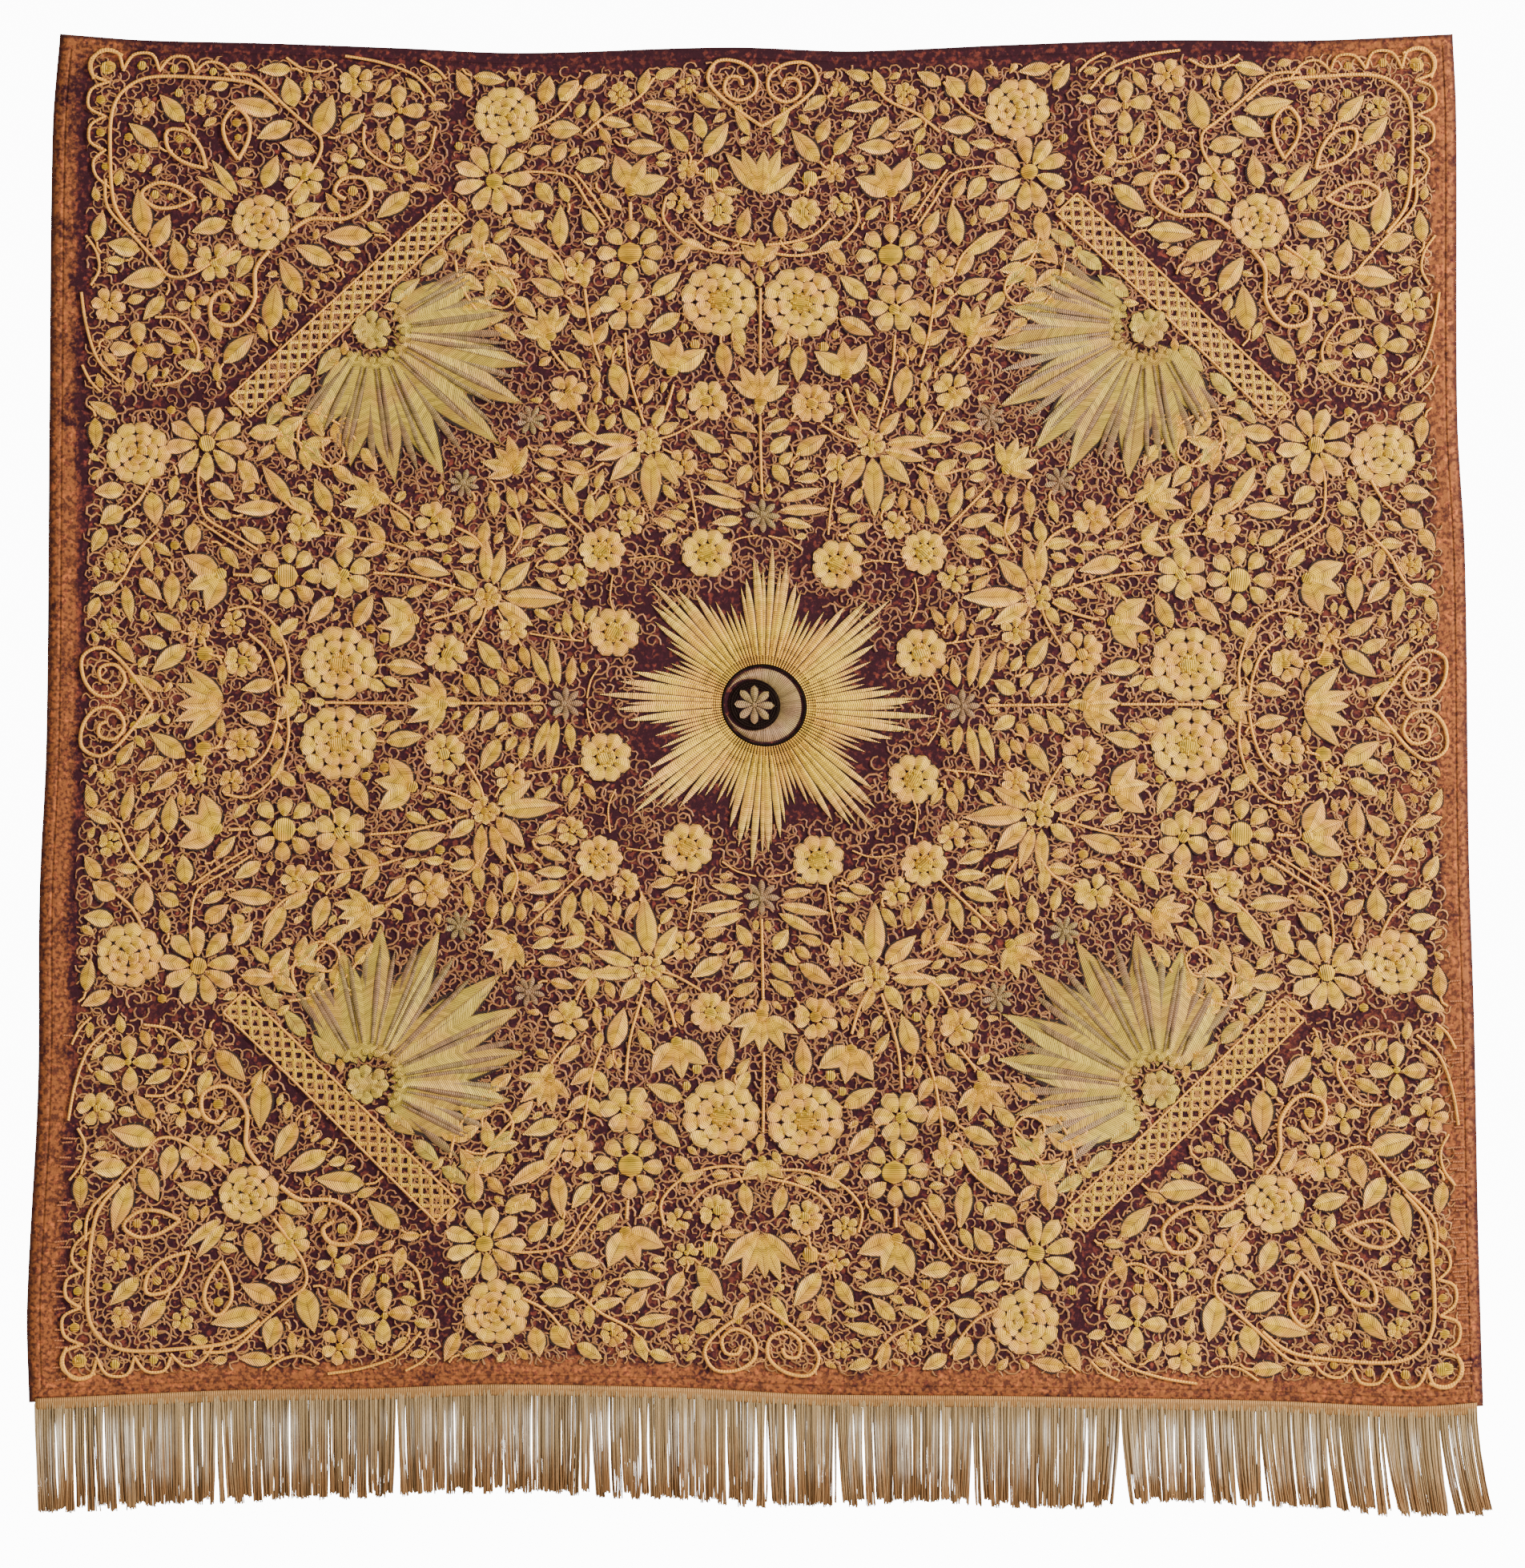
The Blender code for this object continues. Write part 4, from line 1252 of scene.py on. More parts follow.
def fringe_tree():
    """Hangs threads side by side from a straight line, drawn together in locks and kinked at their tips."""
    tree = bpy.data.node_groups.get("hanging threads")
    if tree:
        return tree
    tree, given, result = new_geometry_tree(
        "hanging threads",
        [
            ("Width", "NodeSocketFloat", 1.0),
            ("Threads", "NodeSocketInt", 1200),
            ("Locks", "NodeSocketInt", LOCKS),
            ("Thread radius", "NodeSocketFloat", 0.0004),
            ("Kink", "NodeSocketFloat", 0.003),
            ("Seed", "NodeSocketInt", 3),
            ("Thread", "NodeSocketMaterial", None),
        ],
    )

    def random_value(low, high, salt):
        node = put_node(tree, "FunctionNodeRandomValue", data_type="FLOAT")
        sockets = [s for s in node.inputs if s.enabled and s.name in ("Min", "Max")]
        sockets[0].default_value = low
        sockets[1].default_value = high
        tree.links.new(math_node(tree, "ADD", given["Seed"], float(salt)), node.inputs["Seed"])
        return next(s for s in node.outputs if s.enabled)

    pitch = math_node(tree, "DIVIDE", given["Width"], given["Threads"])
    step = put_node(tree, "ShaderNodeCombineXYZ", [(pitch, "X")]).outputs[0]
    roots = put_node(
        tree, "GeometryNodeMeshLine", [(given["Threads"], "Count"), (step, "Offset")], mode="OFFSET"
    ).outputs[0]
    shift = put_node(
        tree,
        "ShaderNodeCombineXYZ",
        [
            (math_node(tree, "MULTIPLY", random_value(-1.2, 1.2, 1), pitch), "X"),
            (random_value(-0.0016, 0.0016, 2), "Z"),
        ],
    ).outputs[0]
    roots = put_node(tree, "GeometryNodeSetPosition", [(roots, "Geometry"), (shift, "Offset")]).outputs[0]
    roots = store(tree, roots, "tone", random_value(0.0, 1.0, 3))
    root_place = tree.nodes.new("GeometryNodeInputPosition").outputs[0]
    root_across = put_node(tree, "ShaderNodeSeparateXYZ", [(root_place, 0)]).outputs["X"]
    roots = store(tree, roots, "root", root_across)
    line = put_node(tree, "GeometryNodeCurvePrimitiveLine", [((0, -1, 0), "End")]).outputs[0]
    line = put_node(tree, "GeometryNodeResampleCurve", [(line, "Curve"), (8, "Count")]).outputs[0]
    line = store(tree, line, "fall", tree.nodes.new("GeometryNodeSplineParameter").outputs["Factor"])
    reach = put_node(
        tree, "ShaderNodeCombineXYZ", [(1.0, "X"), (random_value(0.975, 1.012, 4), "Y"), (1.0, "Z")]
    ).outputs[0]
    threads = put_node(
        tree,
        "GeometryNodeInstanceOnPoints",
        [(roots, "Points"), (line, "Instance"), (reach, "Scale")],
    ).outputs[0]
    threads = put_node(tree, "GeometryNodeRealizeInstances", [(threads, "Geometry")]).outputs[0]
    place = put_node(
        tree, "ShaderNodeSeparateXYZ", [(tree.nodes.new("GeometryNodeInputPosition").outputs[0], 0)]
    ).outputs
    fall = named(tree, "fall")
    root = named(tree, "root")
    lock = math_node(tree, "DIVIDE", math_node(tree, "MULTIPLY", root, given["Locks"]), given["Width"])
    number = math_node(tree, "FLOOR", lock)
    middle = math_node(tree, "ADD", number, 0.5)
    middle = math_node(tree, "DIVIDE", math_node(tree, "MULTIPLY", middle, given["Width"]), given["Locks"])
    tight = put_node(tree, "ShaderNodeTexWhiteNoise", [(number, "W")], noise_dimensions="1D").outputs["Value"]
    tight = math_node(tree, "MULTIPLY", math_node(tree, "POWER", tight, 3.4), 0.50)
    drawn = math_node(tree, "MULTIPLY", math_node(tree, "SUBTRACT", middle, place["X"]), tight)
    drawn = math_node(tree, "MULTIPLY", drawn, math_node(tree, "SINE", math_node(tree, "MULTIPLY", fall, 3.0)))
    spot = put_node(
        tree,
        "ShaderNodeCombineXYZ",
        [
            (math_node(tree, "MULTIPLY", place["X"], 900.0), 0),
            (math_node(tree, "MULTIPLY", place["Y"], 3.4), 1),
            (math_node(tree, "MULTIPLY", place["Z"], 900.0), 2),
        ],
    ).outputs[0]
    wander = put_node(
        tree, "ShaderNodeTexNoise", [(spot, "Vector"), (1.0, "Scale"), (2.0, "Detail")]
    ).outputs["Color"]
    wander = put_node(tree, "ShaderNodeVectorMath", [(wander, 0), ((0.5, 0.5, 0.5), 1)], operation="SUBTRACT")
    kink = math_node(tree, "MULTIPLY", math_node(tree, "POWER", fall, 1.3), given["Kink"])
    kink = math_node(tree, "MULTIPLY", kink, 4.0)
    wander = put_node(
        tree, "ShaderNodeVectorMath", [(wander.outputs[0], 0), (kink, "Scale")], operation="SCALE"
    ).outputs[0]
    aside = put_node(tree, "ShaderNodeSeparateXYZ", [(wander, 0)]).outputs
    offset = put_node(
        tree,
        "ShaderNodeCombineXYZ",
        [(math_node(tree, "ADD", aside["X"], drawn), 0), (math_node(tree, "MULTIPLY", aside["Z"], 0.7), 2)],
    ).outputs[0]
    threads = put_node(tree, "GeometryNodeSetPosition", [(threads, "Geometry"), (offset, "Offset")]).outputs[0]
    taper = math_node(tree, "MULTIPLY_ADD", fall, -0.12, 1.05)
    taper = math_node(tree, "MULTIPLY", taper, given["Thread radius"])
    ring = put_node(
        tree, "GeometryNodeCurvePrimitiveCircle", [(3, "Resolution"), (1.0, "Radius")]
    ).outputs["Curve"]
    tubes = put_node(
        tree,
        "GeometryNodeCurveToMesh",
        [(threads, "Curve"), (ring, "Profile Curve"), (taper, "Scale"), (True, "Fill Caps")],
    ).outputs[0]
    real = put_node(tree, "GeometryNodeRealizeInstances", [(tubes, "Geometry")]).outputs[0]
    finished = put_node(
        tree, "GeometryNodeSetMaterial", [(real, "Geometry"), (given["Thread"], "Material")]
    ).outputs[0]
    tree.links.new(finished, result["Geometry"])
    return tree


def run_tree(tree, mesh, values):
    """The plain mesh that a tree makes of a mesh, with these values for its named inputs."""
    carrier = bpy.data.objects.new("carrier", mesh)
    bpy.context.scene.collection.objects.link(carrier)
    modifier = carrier.modifiers.new("tree", "NODES")
    modifier.node_group = tree
    for item in tree.interface.items_tree:
        if item.in_out == "INPUT" and item.name in values:
            modifier[item.identifier] = values[item.name]
    carrier.update_tag()
    depsgraph = bpy.context.evaluated_depsgraph_get()
    made = bpy.data.meshes.new_from_object(
        carrier.evaluated_get(depsgraph), preserve_all_data_layers=True, depsgraph=depsgraph
    )
    carrier.modifiers.remove(modifier)
    bpy.data.objects.remove(carrier)
    return made


# Motif shapes, each about one unit long and wide, to be sized where it is worked


def shape_object(name, rows, profile, half_width):
    """A raised motif along X. Its rows cross it, profile gives (side, height, rim, midrib) across each row, and
    half_width gives its half width at a share of its length. Midrib marks where the material paints shade
    along the middle line."""
    shape = bmesh.new()
    rim = shape.verts.layers.float.new("rim")
    midrib_shade = shape.verts.layers.float.new("midrib_shade")
    tipward = shape.verts.layers.float.new("tipward")
    thread = shape.loops.layers.uv.new("thread")
    lines = []
    for row in range(rows + 1):
        share = row / rows
        width = half_width(share)
        ends = min(1.0, 4.5 * width)
        line = []
        for side, height, edge, middle in profile:
            vert = shape.verts.new((share, side * width, height * ends if edge < 1 else height))
            vert[rim] = max(edge, 0.75 * (1 - ends))
            vert[midrib_shade] = middle * min(1.0, 3 * share)
            vert[tipward] = share
            line.append(vert)
        lines.append(line)
    for line, following in zip(lines, lines[1:]):
        for k in range(len(profile) - 1):
            shape.faces.new((line[k], following[k], following[k + 1], line[k + 1]))
    for face in shape.faces:
        face.smooth = True
        for loop in face.loops:
            loop[thread].uv = loop.vert.co.xy
    bmesh.ops.recalc_face_normals(shape, faces=shape.faces)
    if sum(face.normal.z for face in shape.faces) < 0:
        bmesh.ops.reverse_faces(shape, faces=shape.faces)
    bmesh.ops.remove_doubles(shape, verts=shape.verts, dist=1e-5)
    mesh = bpy.data.meshes.new(name)
    shape.to_mesh(mesh)
    shape.free()
    made = bpy.data.objects.new(name, mesh)
    return made


# Profile rows are (side, height, rim, midrib). The outermost points, rim 1, make a low flange round each motif that the
# thread material paints nearly black: a painted shadow between motifs.
LEAF_PROFILE = [(-1.38, 0.36, 1, 0), (-0.97, 0.42, 0.62, 0), (-0.5, 1.0, 0.15, 0), (0, 0.55, 0.0, 1),
                (0.5, 1.0, 0.15, 0), (0.97, 0.42, 0.62, 0), (1.38, 0.36, 1, 0)]
PETAL_PROFILE = [(-1.28, 0.36, 1, 0), (-0.95, 0.42, 0.62, 0), (-0.35, 1.0, 0.0, 0), (0.35, 1.0, 0.0, 0),
                 (0.95, 0.42, 0.62, 0), (1.28, 0.36, 1, 0)]
RAY_PROFILE = [(-1.18, 0.10, 1, 0), (-0.88, 0.35, 0.6, 0), (0, 1.0, 0.0, 0), (0.88, 0.35, 0.6, 0), (1.18, 0.10, 1, 0)]
CURL_PROFILE = [(-1, -0.1), (0, 1.0), (1, -0.1)]


def leaf_outline(share):
    return 0.5 * math.sin(math.pi * share**0.80) ** 1.05


def petal_outline(share):
    return 0.5 * math.sin(math.pi * share**1.5) ** 0.5


def ray_outline(share):
    swell = 0.42 + 1.16 * share
    taper = 1 - max(0.0, 2 * share - 1) ** 3.0
    return 0.5 * min(1.0, swell) * taper


def bead_outline(share):
    return math.sqrt(max(0.0, 0.25 - (share - 0.5) ** 2))


def block_outline(share):
    return 0.5


def make_motifs():
    """The shapes that the stitches repeat."""
    return {
        "leaf": shape_object("leaf_shape", 7, LEAF_PROFILE, leaf_outline),
        "petal": shape_object("petal_shape", 6, PETAL_PROFILE, petal_outline),
        "ray": shape_object("ray_shape", 6, RAY_PROFILE, ray_outline),
        "bead": shape_object("bead_shape", 6, RAY_PROFILE, bead_outline),
        "block": shape_object("block_shape", 2, RAY_PROFILE, block_outline),
    }


def curl_object(name, turns, start, reach, thread):
    """A scroll of thread: its path bends at a rate that changes along it. It is about one unit across."""
    steps = 7
    place = np.zeros(2)
    heading = start
    path = [place.copy()]
    for k in range(steps):
        heading += turns(k / steps) / steps
        place = place + np.array((math.cos(heading), math.sin(heading))) / steps
        path.append(place.copy())
    path = np.array(path)
    path -= path.mean(axis=0)
    path *= reach / np.abs(path).max() / 2
    ahead = np.gradient(path, axis=0)
    ahead /= np.linalg.norm(ahead, axis=1)[:, None]
    aside = np.stack((-ahead[:, 1], ahead[:, 0]), axis=1)
    shape = bmesh.new()
    rim = shape.verts.layers.float.new("rim")
    rows = []
    for k, point in enumerate(path):
        row = []
        for side, height in CURL_PROFILE:
            spot = point + aside[k] * side * thread / 2
            vert = shape.verts.new((spot[0], spot[1], height * thread * 0.45))
            vert[rim] = abs(side)
            row.append(vert)
        rows.append(row)
    for row, following in zip(rows, rows[1:]):
        for k in range(2):
            face = shape.faces.new((row[k], following[k], following[k + 1], row[k + 1]))
            face.smooth = True
    bmesh.ops.recalc_face_normals(shape, faces=shape.faces)
    if sum(face.normal.z for face in shape.faces) < 0:
        bmesh.ops.reverse_faces(shape, faces=shape.faces)
    mesh = bpy.data.meshes.new(name)
    shape.to_mesh(mesh)
    shape.free()
    return bpy.data.objects.new(name, mesh)


# Drawing the design


def polar(u, v, angle, distance):
    return u + distance * math.cos(angle), v + distance * math.sin(angle)


class Design:
    """The stitches and cords of one eighth of the design, and the room that they take."""

    def __init__(self):
        self.stitches = {where: {"leaf": [], "petal": [], "ray": [], "bead": []} for where in PLACES}
        self.cords = []
        self.taken = []
        self.known = np.empty((0, 3))

    def take(self, u, v, radius):
        self.taken.append((u, v, radius))

    def add(self, kind, u, v, turn, length, width, lift=0.0, tone=1.0, where="eighth"):
        """Works a motif from its foot."""
        self.stitches[where][kind].append(Stitch(u, v, turn, length, width, lift, tone))
        if kind == "bead":
            self.take(*polar(u, v, turn, length / 2), length / 2)
        else:
            for share in (0.16, 0.4, 0.64, 0.88):
                self.take(*polar(u, v, turn, length * share), width * (0.5 if 0.2 < share < 0.8 else 0.3))

    def add_centred(self, kind, u, v, turn, length, width, lift=0.0, tone=1.0, where="eighth"):
        """Works a motif round its middle."""
        self.add(kind, *polar(u, v, turn, -length / 2), turn, length, width, lift, tone, where)

    def couch(self, points, thickness, where="eighth"):
        """Couches a cord on a smooth path through the points."""
        path = smooth_path(points, 0.0035)
        self.cords.append((path, thickness, where))
        for u, v in path[::2]:
            self.take(u, v, thickness / 2)

    def room(self, u, v):
        """The distance from a place to the nearest thing that is worked."""
        if len(self.known) < len(self.taken):
            self.known = np.array(self.taken)
        known = self.known
        return float((np.hypot(known[:, 0] - u, known[:, 1] - v) - known[:, 2]).min())

    def inside(self, u, v, reach):
        """Whether a disc lies in this eighth, clear of its borders, the strip, the panel and the edge."""
        if u < reach or v - u < reach * math.sqrt(2) or v > DESIGN_HALF - BORDER + 0.003 - reach:
            return False
        for start, end in zip(STRIP, STRIP[1:]):
            if distance_to_line((u, v), start, end) < STRIP_HALF_WIDTH + reach:
                return False
        outward = (u + v) / math.sqrt(2)
        aside = (v - u) / math.sqrt(2)
        band_middle = PANEL_FROM_MIDDLE - BAND_WIDTH / 2
        from_band = max(aside - BAND_LENGTH / 2, abs(outward - band_middle) - BAND_WIDTH / 2)
        inward = PANEL_FROM_MIDDLE - BAND_WIDTH - FAN_FOOT - outward
        from_fan = math.hypot(inward, aside) - fan_length(math.atan2(aside, inward))
        return min(from_band, from_fan, math.hypot(u, v) - 0.128) > reach

    def everywhere(self, kind):
        """All the copies of one kind of motif."""
        made = mirror(self.stitches["eighth"][kind])
        for where in ("axis", "diagonal"):
            made += quarter_turns(self.stitches[where][kind])
        return made


def fan_length(angle):
    """How far the fan reaches at an angle from its middle leaf, and its hub beyond its sweep."""
    share = abs(angle) / (FAN_SWEEP / 2)
    if share > 1.08:
        return 0.014
    return FAN_RADIUS * (1 - (1 - FAN_SIDE_SHARE) * min(1.0, share) ** 2)


def distance_to_line(point, start, end):
    along = (end[0] - start[0], end[1] - start[1])
    from_start = (point[0] - start[0], point[1] - start[1])
    share = (from_start[0] * along[0] + from_start[1] * along[1]) / (along[0] ** 2 + along[1] ** 2)
    share = min(1.0, max(0.0, share))
    return math.hypot(from_start[0] - share * along[0], from_start[1] - share * along[1])


# The petals of each kind of small flower: how many, and then in shares of its radius where they start and
# how long and wide they are; and the size of its middle.
FLOWER_PETALS = {
    "daisy": (8, 0.36, 0.66, 0.44, 0.72),
    "rosette": (8, 0.22, 0.78, 0.55, 0.56),
    "blossom": (6, 0.15, 0.85, 0.60, 0.42),
    "aster": (9, 0.20, 0.84, 0.38, 0.44),
    "cross": (4, 0.08, 0.92, 0.52, 0.24),
}

# The leaves of each kind of flower that is seen from the side: their ways in degrees from the way it
# faces, and their lengths and widths in shares of its radius.
FLOWER_LEAVES = {
    "tulip": [(-46, 1.15, 0.56), (46, 1.15, 0.56), (0, 1.10, 0.46)],
    "lily": [(-64, 0.95, 0.34), (64, 0.95, 0.34), (-30, 1.12, 0.38), (30, 1.12, 0.38), (0, 1.0, 0.38)],
    "palmette": [(-44, 0.98, 0.27), (44, 0.98, 0.27), (-22, 0.94, 0.27), (22, 0.94, 0.27), (0, 0.84, 0.29)],
    "heart": [(-42, 1.0, 0.72), (42, 1.0, 0.72)],
}


def draw_flower(design, flower, where="eighth"):
    """Works one of the smaller flowers."""
    u, v, radius = flower.u, flower.v, flower.radius
    facing = math.radians(flower.turn)
    if flower.kind == "star":
        for k in range(8):
            angle = facing + k * math.tau / 8
            foot = polar(u, v, angle, 0.1 * radius)
            design.add("ray", *foot, angle, 0.9 * radius, 0.36 * radius, 0, 1, where)
    elif flower.kind in FLOWER_PETALS:
        count, start, length, width, middle = FLOWER_PETALS[flower.kind]
        for k in range(count):
            angle = facing + k * math.tau / count
            foot = polar(u, v, angle, start * radius)
            design.add("petal", *foot, angle, length * radius, width * radius, 0, 1, where)
        design.add_centred("bead", u, v, facing, middle * radius, middle * radius, 0.0006, 0.9, where)
    else:
        for side, length, width in FLOWER_LEAVES[flower.kind]:
            angle = facing + math.radians(side)
            design.add("leaf", u, v, angle, length * radius, width * radius, 0, 1, where)
        if flower.kind in ("tulip", "lily"):
            size = 0.34 * radius
            design.add_centred("bead", u, v, facing, size, size, 0.0006, 0.9, where)


def draw_spray(design, spray, where="eighth"):
    """Works a stem with its pairs of leaves and the leaf at its end."""
    design.couch(spray.points, 0.0023, where)
    path = smooth_path(spray.points, 0.0035)
    splay = math.radians(spray.splay)
    for pair in range(spray.pairs):
        at = round((pair + 0.7) / (spray.pairs + 0.6) * (len(path) - 2))
        u, v = path[at]
        ahead = math.atan2(path[at + 1][1] - v, path[at + 1][0] - u)
        size = spray.leaf * (1.05 - 0.25 * pair / max(1, spray.pairs))
        for side in (-1, 1):
            design.add("leaf", u, v, ahead + side * splay, size, size * 0.42, 0.0, 0.95, where)
    u, v = path[-1]
    ahead = math.atan2(v - path[-3][1], u - path[-3][0])
    design.add("leaf", u, v, ahead, spray.leaf, spray.leaf * 0.4, 0, 1, where)


def draw_loop(design, loop):
    """Couches a pointed loop of cord with two beads in it."""
    turn = math.radians(loop.turn)
    shape = [(0, 0), (0.35, 0.40), (0.72, 0.50), (1, 0.16), (1, -0.16), (0.72, -0.50), (0.35, -0.40), (0, 0)]
    points = [
        polar(*polar(loop.u, loop.v, turn, along * loop.length), turn + math.pi / 2, aside * loop.width)
        for along, aside in shape
    ]
    design.couch(points, 0.0032, loop.where)
    for share, size in ((0.46, 0.0056), (0.76, 0.0070)):
        place = polar(loop.u, loop.v, turn, share * loop.length)
        design.add_centred("bead", *place, turn, size, size, 0, 0.9, loop.where)


def fill_gaps(design, chance):
    """Sets leaf sprigs wherever there is room, the long ones first."""
    for size in SPRIG_SIZES:
        width = size * (0.38 if size > 0.016 else 0.48)
        for _ in range(SPRIG_TRIES):
            v = chance.uniform(0.13, DESIGN_HALF - BORDER)
            u = chance.uniform(0.0, v)
            lean = math.atan2(v, u) + 1.3 * math.sin(41 * u + 17 * v) + chance.uniform(-0.5, 0.5)
            if chance.random() < 0.3:
                lean += math.pi
            if size > SPRIG_NEAR_MIDDLE and math.hypot(u, v) < 0.19:
                continue
            spots = [(polar(u, v, lean, size * share), share) for share in (0.15, 0.5, 0.85)]
            clear = all(
                design.inside(*spot, width * 0.42) and design.room(*spot) > width * room_share(share) + SPRIG_GAP
                for spot, share in spots
            )
            if clear:
                kind = "leaf" if size > 0.012 or chance.random() < 0.5 else "petal"
                design.add(kind, u, v, lean, size, width, 0.0, chance.uniform(0.72, 1.0))
                if size > 0.015:
                    bend = polar(u, v, lean + 0.2, -0.18 * size)
                    back = polar(u, v, lean + 0.5, -0.35 * size)
                    design.cords.append(([(u, v), bend, back], 0.0020, "eighth"))


def room_share(share):
    return 0.5 if share == 0.5 else 0.34


@lru_cache(maxsize=1)
def draw_design():
    """One eighth of the design, its listed parts placed first and then filled."""
    design = Design()
    for head in HEADS:
        design.take(head.u, head.v, head.radius)
        design.take(head.v, head.u, head.radius)
    for flower in SILVER_STARS:
        design.take(flower.u, flower.v, flower.radius)
    for where, flowers in (("axis", AXIS_FLOWERS), ("diagonal", DIAGONAL_FLOWERS), ("eighth", FLOWERS)):
        for flower in flowers:
            draw_flower(design, flower, where)
    hub = Flower("rosette", 0.0825, 0.2026, 0, 0.0110)
    for leaf in LEAVES:
        design.add("leaf", leaf.u, leaf.v, math.radians(leaf.turn), leaf.length, leaf.width)
    draw_flower(design, hub)
    for spray in AXIS_SPRAYS:
        draw_spray(design, spray, "axis")
    for spray in SPRAYS:
        draw_spray(design, spray)
    for cord in CORDS:
        design.couch(cord.points, cord.thickness)
    for cord in DIAGONAL_CORDS:
        design.couch(cord.points, cord.thickness, "diagonal")
    for loop in LOOPS:
        draw_loop(design, loop)
    for bead in BEADS:
        design.add_centred("bead", bead.u, bead.v, 0, 2 * bead.radius, 2 * bead.radius, 0, 0.9)
    fill_gaps(design, random.Random(11))
    return design


# Making pieces


def points_mesh(name, stitches, relief, chance=None):
    """A mesh of points that carry each stitch's turn, size and tone. Handwork strays a little."""
    mesh = bpy.data.meshes.new(name)
    coordinates = []
    turns = []
    sizes = []
    tones = []
    for stitch in stitches:
        stray = [chance.gauss(0, 0.0007), chance.gauss(0, 0.0007)] if chance else [0, 0]
        tones.append(stitch.tone * (chance.uniform(0.66, 1.0) if chance else 1))
        coordinates.append((stitch.u + stray[0], stitch.v + stray[1], stitch.lift))
        turns.append(stitch.turn + (chance.gauss(0, 0.045) if chance else 0))
        height = relief * min(1.0, 0.45 + 45 * stitch.width)
        sizes.append((stitch.length, stitch.width, height))
    mesh.from_pydata(coordinates, [], [])
    mesh.attributes.new("turn", "FLOAT", "POINT").data.foreach_set("value", turns)
    mesh.attributes.new("tone", "FLOAT", "POINT").data.foreach_set("value", tones)
    size = mesh.attributes.new("size", "FLOAT_VECTOR", "POINT")
    size.data.foreach_set("vector", [value for three in sizes for value in three])
    return mesh


def cords_mesh(name, cords, height):
    """A mesh of edges that carry each cord's thickness."""
    mesh = bpy.data.meshes.new(name)
    coordinates = []
    edges = []
    thickness = []
    for path, thick in cords:
        first = len(coordinates)
        coordinates.extend((u, v, height) for u, v in path)
        edges.extend((k, k + 1) for k in range(first, len(coordinates) - 1))
        thickness.extend([thick] * len(path))
    mesh.from_pydata(coordinates, edges, [])
    mesh.attributes.new("thickness", "FLOAT", "POINT").data.foreach_set("value", thickness)
    mesh.attributes.new("tone", "FLOAT", "POINT").data.foreach_set("value", [1.0] * len(coordinates))
    return mesh


def joined(name, meshes):
    """One mesh of several."""
    shape = bmesh.new()
    materials = []
    for mesh in meshes:
        offset = len(materials)
        materials.extend(mesh.materials)
        count = len(shape.faces)
        shape.from_mesh(mesh)
        shape.faces.ensure_lookup_table()
        for face in shape.faces[count:]:
            face.material_index += offset
    made = bpy.data.meshes.new(name)
    shape.to_mesh(made)
    shape.free()
    for material in materials:
        made.materials.append(material)
    return made


def finish_piece(name, mesh):
    """Puts a finished mesh in the scene, at the origin, riding on the hanging."""
    for face in mesh.polygons:
        face.use_smooth = True
    made = bpy.data.objects.new(name, mesh)
    bpy.context.scene.collection.objects.link(made)
    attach(made, ROOT)
    return made


def work(name, groups, motifs, relief=None, stray=None):
    """Works groups of (kind of motif, stitches, thread) into one piece laid on the cloth."""
    relief = relief or bpy.context.scene.hanging_threads.relief
    chance = random.Random(stray) if stray is not None else None
    meshes = []
    for kind, stitches, material in groups:
        if stitches:
            points = points_mesh(name, stitches, relief, chance)
            meshes.append(run_tree(motif_tree(), points, {"Motif": motifs[kind], "Thread": material}))
    mesh = joined(name, meshes)
    lay_on_cloth(mesh)
    return finish_piece(name, mesh)


def couch(name, cords, material, height=0.0009):
    """Couches cords, [(path, thickness)], into one piece laid on the cloth."""
    mesh = run_tree(cord_tree(), cords_mesh(name, cords, height), {"Sides": 5, "Thread": material})
    lay_on_cloth(mesh)
    return finish_piece(name, mesh)


def gold():
    threads = bpy.context.scene.hanging_threads
    return bpy.data.materials.get("gold_satin") or satin_material(
        "gold_satin", threads.gold, threads.gold_edge_and_highlight, 0.7
    )


def gold_middle():
    threads = bpy.context.scene.hanging_threads
    return bpy.data.materials.get("gold_middle") or satin_material(
        "gold_middle", threads.gold_middle, threads.gold, 0.0
    )


def silver():
    threads = bpy.context.scene.hanging_threads
    return bpy.data.materials.get("silver_satin") or satin_material(
        "silver_satin", threads.silver, threads.silver, 0.5, 0.15, 0.44
    )


def gold_cord():
    threads = bpy.context.scene.hanging_threads
    return bpy.data.materials.get("gold_cord") or cord_material("gold_cord", threads.cord)


